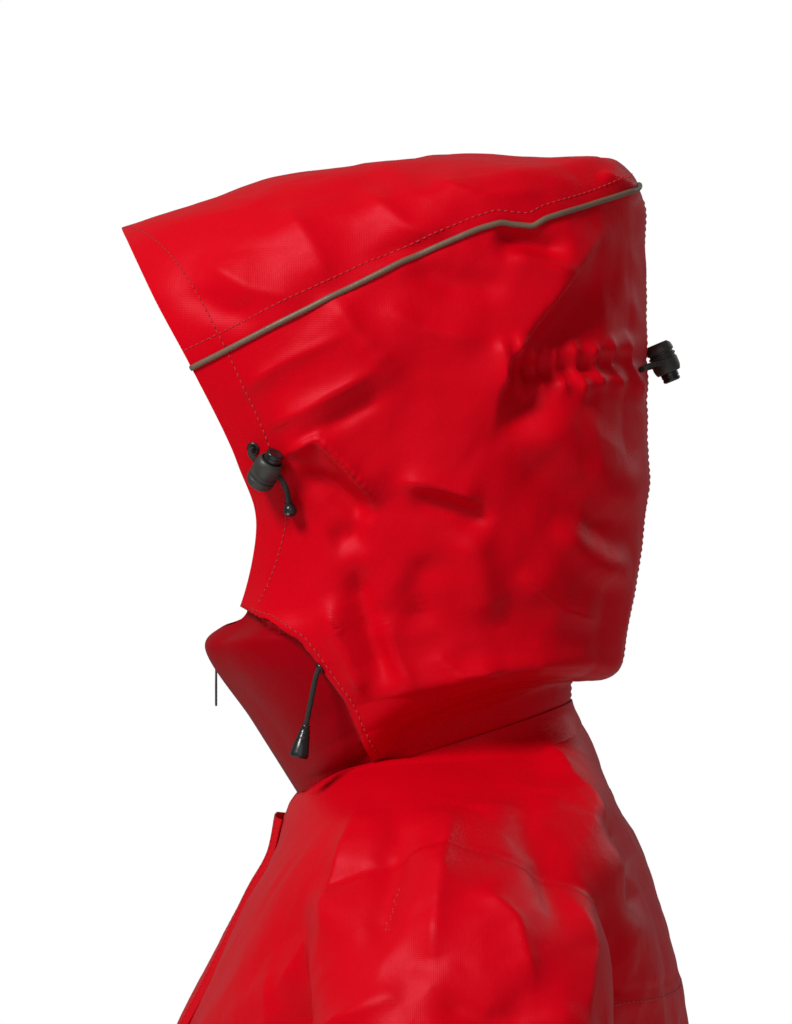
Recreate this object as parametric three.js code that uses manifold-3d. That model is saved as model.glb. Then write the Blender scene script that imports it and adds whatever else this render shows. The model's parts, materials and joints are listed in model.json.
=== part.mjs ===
// A hooded hardshell jacket, as its cut panels, trims, cords and closures lie when it is worn with the
// hood up. Millimetres, +Z up, the front faces -Y, the wearer's left is +X, and the origin is the middle
// of the neck opening. Each cut panel is a wall of laminate with its seam allowance, kept a little clear
// of its neighbours. Surfaces are lofted through stations, and panels are cut from them along seam lines.
import * as THREE from "three";
import { mergeVertices } from "three/addons/utils/BufferGeometryUtils.js";
import Module from "manifold-3d";

const wasm = await Module();
wasm.setup();

// ---------------------------------------------------------------- driving dimensions

const CLOTH = 2.4; // wall of a shell panel with its taped seam allowance
const LINING = 1.1; // wall of a facing, tape or guard behind the shell
const GAP = 0.3; // clearance between neighbouring pieces

const NECK_HALF = 66;
const NECK_FRONT = 76;
const NECK_BACK = 70;
const NECK_FRONT_Z = -30;
const NECK_BACK_Z = 18;

const HOOD_TOP = 315; // neck opening to crown
const HOOD_BACK = 112; // neck axis to the back of the crown
const HOOD_HALF = 106; // half the hood's width over the ears
const BRIM_REACH = 172; // neck axis to the tip of the brim
const BRIM_HEIGHT = 276;
const COLLAR_REACH = 127; // neck axis to the top front corner of the collar
const COLLAR_TOP = 51;
const CHEEK_HALF = 84; // half the width of the face opening at the mouth

const SHOULDER_HALF = 194;
const CHEST_HALF = 172;
const ARMPIT_HALF = 161;
const WAIST_HALF = 167;
const HEM_HALF = 190;
const CHEST_FRONT = 146;
const CHEST_BACK = 137;
const ARMPIT_Z = -228;
const BODY_LENGTH = 660; // neck opening to hem

const SLEEVE_DROP = 640; // neck opening to the cuff's end
const SLEEVE_ACROSS = 57; // half the upper arm's width, seen from the front
const SLEEVE_DEEP = 76; // half the upper arm's depth, seen from the side
const CUFF_ACROSS = 43;
const CUFF_DEEP = 51;

const ZIP_HALF = 5; // half the gap between the two fronts
const TAPE_REACH = 17; // zip centre to the edge of its tape
const TEETH_HALF = 3.6;
const TEETH_HEIGHT = 1.8;
const SLIDER_LENGTH = 11;
const FLAP_HALF = 27; // zip centre to the edge of the storm flap
const FLAP_STAND = 5; // room under the storm flap for the slider

const PIPING_HALF = 1.7;
const CORD = 2.8; // drawcord diameter
const LOCK_RADIUS = 7.5;
const LOCK_LENGTH = 17;
const LOCK_BORE = 5.2;
const PLUNGER_RADIUS = 4.8;
const PLUNGER_TRAVEL = 3;
const BALL_RADIUS = 3.6;
const BELL_LENGTH = 17;
const BELL_RADIUS = 5;

const POCKET_LENGTH = 165;
const POCKET_TOP = -378;

const ROUND = 2.4; // how square the lofted sections are: 2 is an ellipse

// ---------------------------------------------------------------- stations

// The front edge of the collar, y and z, a straight line from the neck seam to the top front corner.
const zipEdge = (share) => [
  -NECK_FRONT + (NECK_FRONT - COLLAR_REACH) * share,
  NECK_FRONT_Z + (COLLAR_TOP - NECK_FRONT_Z) * share,
];

// Hood and collar, from the neck seam up to the tip of the brim. Each station is an arch from the front
// edge, round the side, to the spine: edge x, y, z, spine y, z, and half the arch's width.
const HOOD = [
  [ZIP_HALF, -NECK_FRONT, NECK_FRONT_Z, NECK_BACK, NECK_BACK_Z, NECK_HALF],
  [ZIP_HALF, ...zipEdge(0.16), 0.75 * HOOD_BACK, NECK_BACK_Z + 12, 0.82 * HOOD_HALF],
  [ZIP_HALF, ...zipEdge(0.51), 0.85 * HOOD_BACK, 0.15 * HOOD_TOP, 0.88 * HOOD_HALF],
  [ZIP_HALF, -COLLAR_REACH, COLLAR_TOP, 0.93 * HOOD_BACK, 0.25 * HOOD_TOP, 0.9 * HOOD_HALF],
  [0.52 * CHEEK_HALF, -COLLAR_REACH + 19, COLLAR_TOP + 19, 0.955 * HOOD_BACK, 0.32 * HOOD_TOP, 0.93 * HOOD_HALF],
  [0.86 * CHEEK_HALF, -0.565 * BRIM_REACH, 0.37 * HOOD_TOP, 0.98 * HOOD_BACK, 0.43 * HOOD_TOP, 0.97 * HOOD_HALF],
  [CHEEK_HALF, -0.622 * BRIM_REACH, 0.473 * HOOD_TOP, 0.985 * HOOD_BACK, 0.56 * HOOD_TOP, HOOD_HALF],
  [1.06 * CHEEK_HALF, -0.756 * BRIM_REACH, 0.626 * HOOD_TOP, 0.99 * HOOD_BACK, 0.72 * HOOD_TOP, 1.02 * HOOD_HALF],
  [0.95 * CHEEK_HALF, -0.865 * BRIM_REACH, 0.84 * BRIM_HEIGHT, HOOD_BACK, 0.9 * HOOD_TOP, 0.99 * HOOD_HALF],
  [0.72 * CHEEK_HALF, -0.93 * BRIM_REACH, 0.92 * BRIM_HEIGHT, 0.8 * HOOD_BACK, 0.995 * HOOD_TOP, 0.87 * HOOD_HALF],
  [0.48 * CHEEK_HALF, -0.968 * BRIM_REACH, 0.966 * BRIM_HEIGHT, 0.2 * HOOD_BACK, HOOD_TOP, 0.68 * HOOD_HALF],
  [0.24 * CHEEK_HALF, -0.99 * BRIM_REACH, 0.99 * BRIM_HEIGHT, -0.38 * BRIM_REACH, 0.97 * HOOD_TOP, 0.42 * HOOD_HALF],
  [3, -BRIM_REACH, BRIM_HEIGHT, 1 - BRIM_REACH, BRIM_HEIGHT + 1, 3.2],
];
const COLLAR_TIP = 3; // the station at the collar's top front corner
const CHIN = 4; // the station where the face opening starts

// Body, from the neck seam down to the hem: half width, front y, back y, and z at the front, back and side.
const BODY = [
  [NECK_HALF, -NECK_FRONT, NECK_BACK, NECK_FRONT_Z, NECK_BACK_Z, -4],
  [0.61 * SHOULDER_HALF, -NECK_FRONT - 8, NECK_BACK + 13, -39, -6, -17],
  [0.89 * SHOULDER_HALF, -NECK_FRONT - 12, NECK_BACK + 23, -58, -29, -36],
  [SHOULDER_HALF, -0.7 * CHEST_FRONT, 0.82 * CHEST_BACK, -86, -68, -63],
  [0.98 * SHOULDER_HALF, -0.83 * CHEST_FRONT, 0.92 * CHEST_BACK, -124, -112, -106],
  [CHEST_HALF, -CHEST_FRONT, 0.98 * CHEST_BACK, -180, -175, -175],
  [ARMPIT_HALF, -CHEST_FRONT - 5, CHEST_BACK, ARMPIT_Z, ARMPIT_Z, ARMPIT_Z],
  [WAIST_HALF, -CHEST_FRONT - 2, CHEST_BACK - 8, -400, -400, -400],
  [0.94 * HEM_HALF, -CHEST_FRONT, CHEST_BACK - 6, -535, -535, -535],
  [HEM_HALF, -CHEST_FRONT, CHEST_BACK - 5, -BODY_LENGTH, -BODY_LENGTH, -BODY_LENGTH],
];
const SIDE_SEAM_Y = -4;

// Left sleeve, from inside the shoulder to the wrist: centre x, y, z, half across, half deep.
const SLEEVE = [
  [0.6 * SHOULDER_HALF, 6, -84, 40, 62],
  [0.86 * SHOULDER_HALF, 8, -97, 0.98 * SLEEVE_ACROSS, 0.97 * SLEEVE_DEEP],
  [1.05 * SHOULDER_HALF, 9, -140, SLEEVE_ACROSS + 1, SLEEVE_DEEP],
  [ARMPIT_HALF + SLEEVE_ACROSS, 8, -205, SLEEVE_ACROSS - 2, 0.98 * SLEEVE_DEEP],
  [WAIST_HALF + SLEEVE_ACROSS + 9, 1, -340, SLEEVE_ACROSS - 6, 0.87 * SLEEVE_DEEP],
  [WAIST_HALF + SLEEVE_ACROSS + 20, -9, -440, SLEEVE_ACROSS - 9, 0.81 * SLEEVE_DEEP],
  [HEM_HALF + SLEEVE_ACROSS + 10, -28, -0.9 * SLEEVE_DROP, CUFF_ACROSS + 2, CUFF_DEEP + 4],
  [HEM_HALF + SLEEVE_ACROSS + 18, -42, -SLEEVE_DROP, CUFF_ACROSS, CUFF_DEEP],
];
const CUFF_FROM = 6.15; // where along the sleeve's stations the cuff starts

// Seam lines, as y and z in the side view.
const PIPING_LINE = [
  [-BRIM_REACH - 30, 0.525 * HOOD_TOP],
  [-0.742 * BRIM_REACH, 0.633 * HOOD_TOP],
  [30, 0.867 * HOOD_TOP],
  [0.66 * HOOD_BACK, 0.897 * HOOD_TOP],
  [0.89 * HOOD_BACK, 0.925 * HOOD_TOP],
  [HOOD_BACK + 20, 0.98 * HOOD_TOP],
];
const COLLAR_LINE = [
  [-COLLAR_REACH - 20, COLLAR_TOP + 38],
  [-0.6 * COLLAR_REACH, COLLAR_TOP + 3],
  [-0.4 * COLLAR_REACH, 0.43 * COLLAR_TOP],
  [-0.29 * COLLAR_REACH, -0.16 * COLLAR_TOP],
  [-0.27 * COLLAR_REACH, -90],
];

// ---------------------------------------------------------------- surfaces

const point = (x, y, z) => new THREE.Vector3(x, y, z);
const power = (value, exponent) => Math.sign(value) * Math.abs(value) ** exponent;
const mirrored = (p) => point(-p.x, p.y, p.z);

// A monotone cubic through the stations, so that flat stretches stay flat.
function stationAt(stations, t) {
  const last = stations.length - 1;
  const k = Math.max(0, Math.min(Math.floor(t), last - 1));
  const f = t - k;
  const slope = (i, c) => stations[i + 1][c] - stations[i][c];
  const tangent = (i, c) => {
    if (i === 0) return slope(0, c);
    if (i === last) return slope(last - 1, c);
    const [before, after] = [slope(i - 1, c), slope(i, c)];
    return before * after <= 0 ? 0 : (2 * before * after) / (before + after);
  };
  return stations[k].map((from, c) => {
    const to = stations[k + 1][c];
    const rise = f * f * (3 - 2 * f);
    return from + (to - from) * rise + f * (1 - f) * (1 - f) * tangent(k, c) - f * f * (1 - f) * tangent(k + 1, c);
  });
}

// A point on the hood: across runs from 0 at the front edge to 1 at the spine.
function hoodPoint(t, across, side = 1) {
  const [edgeX, edgeY, edgeZ, spineY, spineZ, half] = stationAt(HOOD, t);
  const start = Math.acos(Math.min(1, edgeX / half) ** (ROUND / 2));
  const angle = -start + across * (start + Math.PI / 2);
  const edge = -(Math.sin(start) ** (2 / ROUND));
  const share = (power(Math.sin(angle), 2 / ROUND) - edge) / (1 - edge);
  const x = side * half * Math.max(0, Math.cos(angle)) ** (2 / ROUND);
  return point(x, edgeY + (spineY - edgeY) * share, edgeZ + (spineZ - edgeZ) * share);
}

// A point on the body: angle is 0 at the front, and a quarter turn at the wearer's left.
function bodyPoint(t, angle) {
  const [half, front, back, frontZ, backZ, sideZ] = stationAt(BODY, t);
  const x = half * power(Math.sin(angle), 2 / ROUND);
  const share = (1 - power(Math.cos(angle), 2 / ROUND)) / 2;
  const level = frontZ + (backZ - frontZ) * share;
  return point(x, front + (back - front) * share, level + (sideZ - level) * (x / half) ** 2);
}

// The centre of the left sleeve and its two section directions: out, away from the body, and back.
function sleeveFrame(t) {
  const [x, y, z, across, deep] = stationAt(SLEEVE, t);
  const step = 0.05;
  const centre = (s) => point(...stationAt(SLEEVE, Math.max(0, Math.min(SLEEVE.length - 1, s))).slice(0, 3));
  const along = centre(t + step).sub(centre(t - step)).normalize();
  const out = point(0, 1, 0).cross(along).normalize().negate();
  return { centre: point(x, y, z), along, out, back: along.clone().cross(out).negate(), across, deep };
}

function sleevePoint(t, angle, grow = 0) {
  const f = sleeveFrame(t);
  return f.centre
    .addScaledVector(f.out, (f.across + grow) * Math.cos(angle))
    .addScaledVector(f.back, (f.deep + grow) * Math.sin(angle));
}

// ---------------------------------------------------------------- solids from grids

const range = (count, from, to) => Array.from({ length: count }, (_, i) => from + ((to - from) * i) / (count - 1));

function solid(points, faces) {
  const make = (list) =>
    new wasm.Manifold(
      new wasm.Mesh({
        numProp: 3,
        vertProperties: new Float32Array(points.flatMap((p) => [p.x, p.y, p.z])),
        triVerts: new Uint32Array(list.flat()),
      }),
    );
  const made = make(faces);
  return made.volume() > 0 ? made : make(faces.map(([a, b, c]) => [a, c, b]));
}

// Unit normals of a grid of points, from its neighbours. Outside is on the left of rows crossed with columns.
function gridNormals(grid, wrap) {
  const rows = grid.length;
  const cols = grid[0].length;
  return grid.map((row, i) =>
    row.map((_, j) => {
      const down = grid[Math.min(rows - 1, i + 1)][j].clone().sub(grid[Math.max(0, i - 1)][j]);
      const next = wrap ? (j + 1) % cols : Math.min(cols - 1, j + 1);
      const prev = wrap ? (j + cols - 1) % cols : Math.max(0, j - 1);
      return down.cross(row[next].clone().sub(row[prev])).normalize();
    }),
  );
}

// A wall that follows a grid, between two distances along its normals. With wrap it is a tube.
function wall(grid, outer, inner, wrap = false) {
  const normals = gridNormals(grid, wrap);
  const rows = grid.length;
  const cols = grid[0].length;
  const layer = (distance) =>
    grid.flatMap((row, i) => row.map((p, j) => p.clone().addScaledVector(normals[i][j], distance)));
  const points = [...layer(outer), ...layer(inner)];
  const at = (i, j, below) => i * cols + (j % cols) + (below ? rows * cols : 0);
  const faces = [];
  const quad = (a, b, c, d) => faces.push([a, b, c], [a, c, d]);
  const spans = wrap ? cols : cols - 1;
  for (let i = 0; i < rows - 1; i++)
    for (let j = 0; j < spans; j++) {
      quad(at(i, j), at(i + 1, j), at(i + 1, j + 1), at(i, j + 1));
      quad(at(i, j, true), at(i, j + 1, true), at(i + 1, j + 1, true), at(i + 1, j, true));
    }
  for (let j = 0; j < spans; j++) {
    quad(at(0, j), at(0, j + 1), at(0, j + 1, true), at(0, j, true));
    quad(at(rows - 1, j + 1), at(rows - 1, j), at(rows - 1, j, true), at(rows - 1, j + 1, true));
  }
  if (!wrap)
    for (let i = 0; i < rows - 1; i++) {
      quad(at(i + 1, 0), at(i, 0), at(i, 0, true), at(i + 1, 0, true));
      quad(at(i, cols - 1), at(i + 1, cols - 1), at(i + 1, cols - 1, true), at(i, cols - 1, true));
    }
  return solid(points, faces);
}

// The filled volume inside a wrapped grid, closed flat at both ends.
function plug(grid, grow) {
  const normals = gridNormals(grid, true);
  const rows = grid.length;
  const cols = grid[0].length;
  const points = grid.flatMap((row, i) => row.map((p, j) => p.clone().addScaledVector(normals[i][j], grow)));
  const centre = (row) => row.reduce((sum, p) => sum.add(p), point(0, 0, 0)).divideScalar(cols);
  points.push(centre(grid[0]), centre(grid[rows - 1]));
  const at = (i, j) => i * cols + (j % cols);
  const faces = [];
  for (let j = 0; j < cols; j++) {
    for (let i = 0; i < rows - 1; i++)
      faces.push([at(i, j), at(i + 1, j), at(i + 1, j + 1)], [at(i, j), at(i + 1, j + 1), at(i, j + 1)]);
    faces.push([at(0, j), at(0, j + 1), rows * cols], [at(rows - 1, j + 1), at(rows - 1, j), rows * cols + 1]);
  }
  return solid(points, faces);
}

// A three.js geometry as a solid.
function fromGeometry(geometry) {
  const bare = geometry.index ? geometry.toNonIndexed() : geometry.clone();
  bare.deleteAttribute("normal");
  bare.deleteAttribute("uv");
  const merged = mergeVertices(bare, 1e-4);
  const made = new wasm.Manifold(
    new wasm.Mesh({
      numProp: 3,
      vertProperties: merged.attributes.position.array,
      triVerts: new Uint32Array(merged.index.array),
    }),
  );
  return made;
}

// The largest of the separate bodies a cut leaves.
const largest = (made) => made.decompose().reduce((a, b) => (b.volume() > a.volume() ? b : a));

// How far a piece moves along a direction before it stands clear of another.
function standOff(made, direction, other) {
  for (let far = 0; far < 30; far += 0.1)
    if (made.translate(direction.clone().multiplyScalar(far).toArray()).minGap(other, 2) > GAP) return far;
  throw new Error("no clear place within 30 mm");
}

function box(width, depth, height, x = 0, y = 0, z = 0) {
  return fromGeometry(new THREE.BoxGeometry(width, depth, height).translate(x, y, z));
}

// A flat outline in the side view, y and z, carried across from one x to another.
function sideRegion(outline, fromX, toX) {
  const shape = new THREE.Shape(outline.map(([y, z]) => new THREE.Vector2(y, z)));
  const g = new THREE.ExtrudeGeometry(shape, { depth: toX - fromX, bevelEnabled: false });
  g.applyMatrix4(new THREE.Matrix4().makeBasis(point(0, 1, 0), point(0, 0, 1), point(1, 0, 0)));
  return fromGeometry(g.translate(fromX, 0, 0));
}

// The same for an outline in the front view, x and z, carried from one y to another.
function frontRegion(outline, fromY, toY) {
  const shape = new THREE.Shape(outline.map(([x, z]) => new THREE.Vector2(x, z)));
  const g = new THREE.ExtrudeGeometry(shape, { depth: toY - fromY, bevelEnabled: false });
  g.applyMatrix4(new THREE.Matrix4().makeBasis(point(1, 0, 0), point(0, 0, 1), point(0, -1, 0)));
  return fromGeometry(g.translate(0, toY, 0));
}

const FAR = 900;
const shifted = (line, dy, dz) => line.map(([y, z]) => [y + dy, z + dz]);
const above = (line) => [...line, [FAR, FAR], [-FAR, FAR], [-FAR, line[0][1]]];
const below = (line) => [...line, [FAR, line.at(-1)[1]], [FAR, -FAR], [-FAR, -FAR], [-FAR, line[0][1]]];
const ahead = (line) => [...line, [line.at(-1)[0], -FAR], [-FAR, -FAR], [-FAR, line[0][1]]];

// A strip swept along frames, each with a place, an inward direction and a normal. Its profile is a list
// of columns: distance inward, and the two distances along the normal.
function strip(frames, profile) {
  const rows = frames.length;
  const cols = profile.length;
  const layer = (which) =>
    frames.flatMap((f) =>
      profile.map((column) =>
        f.at.clone().addScaledVector(f.inward, column[0]).addScaledVector(f.normal, column[which]),
      ),
    );
  const points = [...layer(1), ...layer(2)];
  const at = (i, j, low) => i * cols + j + (low ? rows * cols : 0);
  const faces = [];
  const quad = (a, b, c, d) => faces.push([a, b, c], [a, c, d]);
  for (let i = 0; i < rows - 1; i++) {
    for (let j = 0; j < cols - 1; j++) {
      quad(at(i, j), at(i + 1, j), at(i + 1, j + 1), at(i, j + 1));
      quad(at(i, j, true), at(i, j + 1, true), at(i + 1, j + 1, true), at(i + 1, j, true));
    }
    quad(at(i + 1, 0), at(i, 0), at(i, 0, true), at(i + 1, 0, true));
    quad(at(i, cols - 1), at(i + 1, cols - 1), at(i + 1, cols - 1, true), at(i, cols - 1, true));
  }
  for (let j = 0; j < cols - 1; j++) {
    quad(at(0, j), at(0, j + 1), at(0, j + 1, true), at(0, j, true));
    quad(at(rows - 1, j + 1), at(rows - 1, j), at(rows - 1, j, true), at(rows - 1, j + 1, true));
  }
  return solid(points, faces);
}

// A round cord through points.
function cordSolid(points, diameter, steps, sides = 8) {
  const circle = new THREE.Shape(
    range(sides + 1, 0, 2 * Math.PI)
      .slice(0, sides)
      .map((a) => new THREE.Vector2((diameter / 2) * Math.cos(a), (diameter / 2) * Math.sin(a))),
  );
  const path = points instanceof THREE.Curve ? points : new THREE.CatmullRomCurve3(points);
  return fromGeometry(new THREE.ExtrudeGeometry(circle, { steps, extrudePath: path, bevelEnabled: false }));
}

const turned = (made, matrix) => made.transform(matrix.elements);

// A matrix that puts a piece's own Z along axis, its X near across, and its origin at place.
function pose(place, axis, across) {
  const z = axis.clone().normalize();
  const x = across.clone().addScaledVector(z, -across.dot(z)).normalize();
  return new THREE.Matrix4().makeBasis(x, z.clone().cross(x), z).setPosition(place);
}

// ---------------------------------------------------------------- materials and nodes

const finish = (color, roughness, metalness = 0) => new THREE.MeshStandardMaterial({ color, roughness, metalness });
const SHELL_RED = finish(0xc4041a, 0.42);
const COLLAR_RED = finish(0xb00316, 0.45);
const PIPING_GREY = finish(0x8d8172, 0.5);
const LINING_GREY = finish(0x4a4a4c, 0.9);
const FLEECE_BLACK = finish(0x1c1c1e, 1.0);
const CORD_BLACK = finish(0x17150f, 0.8);
const PLASTIC_BLACK = finish(0x2c2b27, 0.5);
const TAPE_BLACK = finish(0x1a1a1a, 0.85);
const SPRING_STEEL = finish(0xb8b8bc, 0.3, 1);
const SLIDER_METAL = finish(0x55565a, 0.4, 0.9);

const jacket = new THREE.Group();

function add(name, made, material) {
  const mesh = made.getMesh();
  const count = mesh.numProp;
  const positions = new Float32Array(mesh.numVert * 3);
  for (let i = 0; i < mesh.numVert; i++)
    positions.set(mesh.vertProperties.subarray(i * count, i * count + 3), i * 3);
  const geometry = new THREE.BufferGeometry()
    .setAttribute("position", new THREE.BufferAttribute(positions, 3))
    .setIndex(new THREE.BufferAttribute(mesh.triVerts, 1));
  geometry.computeVertexNormals();
  const node = new THREE.Mesh(geometry, material);
  node.name = name;
  jacket.add(node);
}

const SIDES = [
  ["left", 1],
  ["right", -1],
];

// ---------------------------------------------------------------- hood and collar panels

const hoodRows = [...range(9, 0, CHIN), ...range(20, CHIN, HOOD.length - 1).slice(1)];
const hoodColumns = 11;
const hoodGrid = hoodRows.map((t) => [
  ...range(hoodColumns, 0, 1).map((a) => hoodPoint(t, a, -1)),
  ...range(hoodColumns, 1, 0).slice(1).map((a) => hoodPoint(t, a, 1)),
]);
const bodyRows = [...range(13, 0, 6), 7, 8, 8.76, 9];
const bodyAngles = (t) => {
  const start = Math.asin((ZIP_HALF / stationAt(BODY, t)[0]) ** (ROUND / 2));
  const near = [start, 0.09, 0.16, ...range(25, 0.27, 2 * Math.PI - 0.27)];
  return [...near, 2 * Math.PI - 0.16, 2 * Math.PI - 0.09, 2 * Math.PI - start];
};
const bodyGrid = bodyRows.map((t) => bodyAngles(t).map((a) => bodyPoint(t, a)));
const ringRow = (t) => [...bodyAngles(t), 0].map((a) => bodyPoint(t, a));
const bodyRing = bodyRows.map(ringRow);

const neckClearance = wall([ringRow(-0.06), ...bodyRing.slice(0, 4)], GAP, -CLOTH - GAP, true);
const hoodShell = largest(wall(hoodGrid, 0, -CLOTH).subtract(neckClearance));

// The nearest grid point of the left half of the hood to a place in the side view, and its normal.
function hoodPlace(y, z) {
  let best = { far: Infinity };
  for (const t of range(161, 0, HOOD.length - 1))
    for (const a of range(61, 0.01, 0.99)) {
      const p = hoodPoint(t, a);
      const far = (p.y - y) ** 2 + (p.z - z) ** 2;
      if (far < best.far) best = { far, t, a, p };
    }
  const along = hoodPoint(best.t + 0.02, best.a).sub(hoodPoint(best.t - 0.02, best.a));
  const normal = along.cross(hoodPoint(best.t, best.a - 0.01).sub(hoodPoint(best.t, best.a + 0.01))).normalize();
  return { place: best.p, normal: normal.x < 0 ? normal.negate() : normal };
}

function hoodPanels() {
  const half = PIPING_HALF * 1.1;
  const top = sideRegion(above(shifted(PIPING_LINE, 0, half + GAP)), -FAR, FAR);
  const band = sideRegion([...shifted(PIPING_LINE, 0, half), ...shifted(PIPING_LINE, 0, -half).reverse()], -FAR, FAR);
  const collar = sideRegion(ahead(COLLAR_LINE), -FAR, FAR);
  const notCollar = sideRegion(ahead(shifted(COLLAR_LINE, GAP, GAP)), -FAR, FAR);
  add("hood_top_panel", hoodShell.intersect(top), SHELL_RED);
  add("hood_piping", wall(hoodGrid, 1.2, -1.4).intersect(band), PIPING_GREY);
  for (const [name, side] of SIDES) {
    const [from, to] = side > 0 ? [GAP / 2, FAR] : [-FAR, -GAP / 2];
    const under = sideRegion(below(shifted(PIPING_LINE, 0, -half - GAP)), from, to);
    add(`hood_side_${name}`, hoodShell.intersect(under).subtract(notCollar), SHELL_RED);
    const half_space = sideRegion([[-FAR, -FAR], [FAR, -FAR], [FAR, FAR], [-FAR, FAR]], from, to);
    add(`collar_${name}`, hoodShell.intersect(collar).intersect(half_space), COLLAR_RED);
  }
}

// Pieces sewn behind the shell: the brim's stiffener and the soft chin guards.
function hoodLinings() {
  const behind = wall(hoodGrid, -CLOTH - GAP, -CLOTH - GAP - LINING);
  const brimLine = (back) => [
    [-0.77 * BRIM_REACH + back, 0.665 * HOOD_TOP],
    [-0.97 * BRIM_REACH + back, 0.96 * BRIM_HEIGHT],
    [-BRIM_REACH + back + 2, 1.2 * BRIM_HEIGHT],
  ];
  const stiffener = sideRegion([...brimLine(27), ...brimLine(78).reverse()], -FAR, FAR);
  const topOnly = sideRegion(above(shifted(PIPING_LINE, 0, 5)), -FAR, FAR);
  add("brim_stiffener", behind.intersect(stiffener).intersect(topOnly), PLASTIC_BLACK);
  const [low, high] = [0.1 * COLLAR_TOP, COLLAR_TOP + 12];
  const reach = -COLLAR_REACH;
  const guard = [[reach - 20, low], [reach + 62, low], [reach + 62, high - 22], [reach + 26, high], [reach - 20, high]];
  for (const [name, side] of SIDES) {
    const [from, to] = side > 0 ? [TAPE_REACH + 2, FAR] : [-FAR, -TAPE_REACH - 2];
    add(`chin_guard_${name}`, behind.intersect(sideRegion(guard, from, to)), FLEECE_BLACK);
  }
}

// Frames along the face edge, from the left chin over the brim to the right chin.
function faceFrames(count) {
  const left = range(count, CHIN + 0.35, HOOD.length - 1.35).map((t) => {
    const at = hoodPoint(t, 0);
    const inward = hoodPoint(t, 0.06).sub(at).normalize();
    const normal = hoodPoint(t - 0.05, 0).sub(hoodPoint(t + 0.05, 0)).cross(inward).normalize();
    return { at, inward, normal: normal.x < 0 ? normal.negate() : normal };
  });
  const right = left.map((f) => ({ at: mirrored(f.at), inward: mirrored(f.inward), normal: mirrored(f.normal) }));
  const tip = {
    at: point(0, -BRIM_REACH, BRIM_HEIGHT),
    inward: point(0, 0.96, 0.28),
    normal: point(0, -0.28, 0.96),
  };
  return [...left, tip, ...right.reverse()];
}

// The hem round the face: a drawcord between the shell and the facing that makes its tunnel.
function faceHem() {
  const depth = CLOTH + 1.6 + CORD / 2;
  const frames = faceFrames(12);
  const facing = strip(frames, tunnelProfile(20, depth)).subtract(wall(hoodGrid, 3, -CLOTH - GAP));
  add("face_hem_facing", largest(facing), LINING_GREY);
  const run = frames.map((f) => f.at.clone().addScaledVector(f.inward, 10).addScaledVector(f.normal, -depth));
  add("face_drawcord", cordSolid(run, CORD, 44, 6), CORD_BLACK);
}

// The section of a drawcord tunnel: both edges lie on the shell, and the middle bows round the cord.
function tunnelProfile(width, depth) {
  const [flat, bowed] = [-CLOTH - 2 * GAP, -depth - CORD / 2 - 3 * GAP];
  const edge = (at) => [at, flat, flat - LINING];
  const middle = (at) => [at, bowed, bowed - LINING];
  return [edge(0.8), edge(2.5), middle(5.5), middle(width - 5.5), edge(width - 2), edge(width)];
}

// ---------------------------------------------------------------- body, sleeves and cuffs

const sleeveRows = [0, 0.7, 1.4, 2, 2.5, 3, 3.5, 4, 4.5, 5, 5.6, CUFF_FROM - 0.01];
const sleeveRing = (rows) => rows.map((t) => range(19, 0, 2 * Math.PI).slice(1).map((a) => sleevePoint(t, a)));
const SLEEVE_END = SLEEVE.length - 1;
const flipX = (made) => made.mirror([1, 0, 0]);
const sided = (made, side) => (side > 0 ? made : flipX(made));

function bodyPanels() {
  const armhole = plug(sleeveRing(sleeveRows.slice(0, 9)), GAP);
  const shell = wall(bodyGrid, 0, -CLOTH).subtract(armhole).subtract(flipX(armhole));
  const slab = (x, y, fromX, fromY) => box(x, y, 2 * FAR, fromX + x / 2, fromY + y / 2, 0);
  add("back_panel", shell.intersect(slab(2 * FAR, FAR, -FAR, SIDE_SEAM_Y + GAP / 2)), SHELL_RED);
  const front = shell.intersect(slab(FAR, FAR, 0, SIDE_SEAM_Y - GAP / 2 - FAR));
  for (const [name, side] of SIDES) add(`front_${name}`, sided(front, side), SHELL_RED);
}

function sleeves() {
  const tube = largest(wall(sleeveRing(sleeveRows), 0, -CLOTH, true).subtract(plug(bodyRing, GAP)));
  const middle = range(9, 0, CUFF_FROM).map((t) => {
    const c = sleeveFrame(t).centre;
    return [c.x, c.z];
  });
  const outer = frontRegion([...shifted(middle, GAP / 2, GAP / 2), [FAR, -FAR], [FAR, FAR], [0, FAR]], -FAR, FAR);
  const inner = frontRegion([...shifted(middle, -GAP / 2, -GAP / 2), [0, -FAR], [-FAR, -FAR], [-FAR, FAR]], -FAR, FAR);
  for (const [name, side] of SIDES) {
    add(`sleeve_${name}_outer`, sided(tube.intersect(outer), side), SHELL_RED);
    add(`sleeve_${name}_inner`, sided(tube.intersect(inner), side), SHELL_RED);
  }
}

// Cuffs, with a landing pad of loop tape and a tab that wraps over it from the back of the wrist.
const TAB_FROM = 0.42 * Math.PI;
const TAB_TO = -0.12 * Math.PI;
const TAB_MIDDLE = 6.72;
const TAB_HALF = 0.13;

function cuffs() {
  const cuff = wall(sleeveRing([CUFF_FROM, 6.45, 6.72, SLEEVE_END]), 0, -CLOTH, true);
  const band = (half, from, to, low, high) =>
    wall(
      range(3, TAB_MIDDLE - half, TAB_MIDDLE + half).map((t) => range(13, from, to).map((a) => sleevePoint(t, a))),
      -high,
      -low,
    );
  const pad = band(0.8 * TAB_HALF, 0.1 * Math.PI, TAB_TO - 0.25, GAP, GAP + 0.9);
  const tab = band(TAB_HALF, TAB_FROM, TAB_TO, 2 * GAP + 0.9, 2 * GAP + 0.9 + 2);
  for (const [name, side] of SIDES) {
    add(`cuff_${name}`, sided(cuff, side), SHELL_RED);
    add(`cuff_pad_${name}`, sided(pad, side), TAPE_BLACK);
    add(`cuff_tab_${name}`, sided(tab, side), PLASTIC_BLACK);
  }
}

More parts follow.
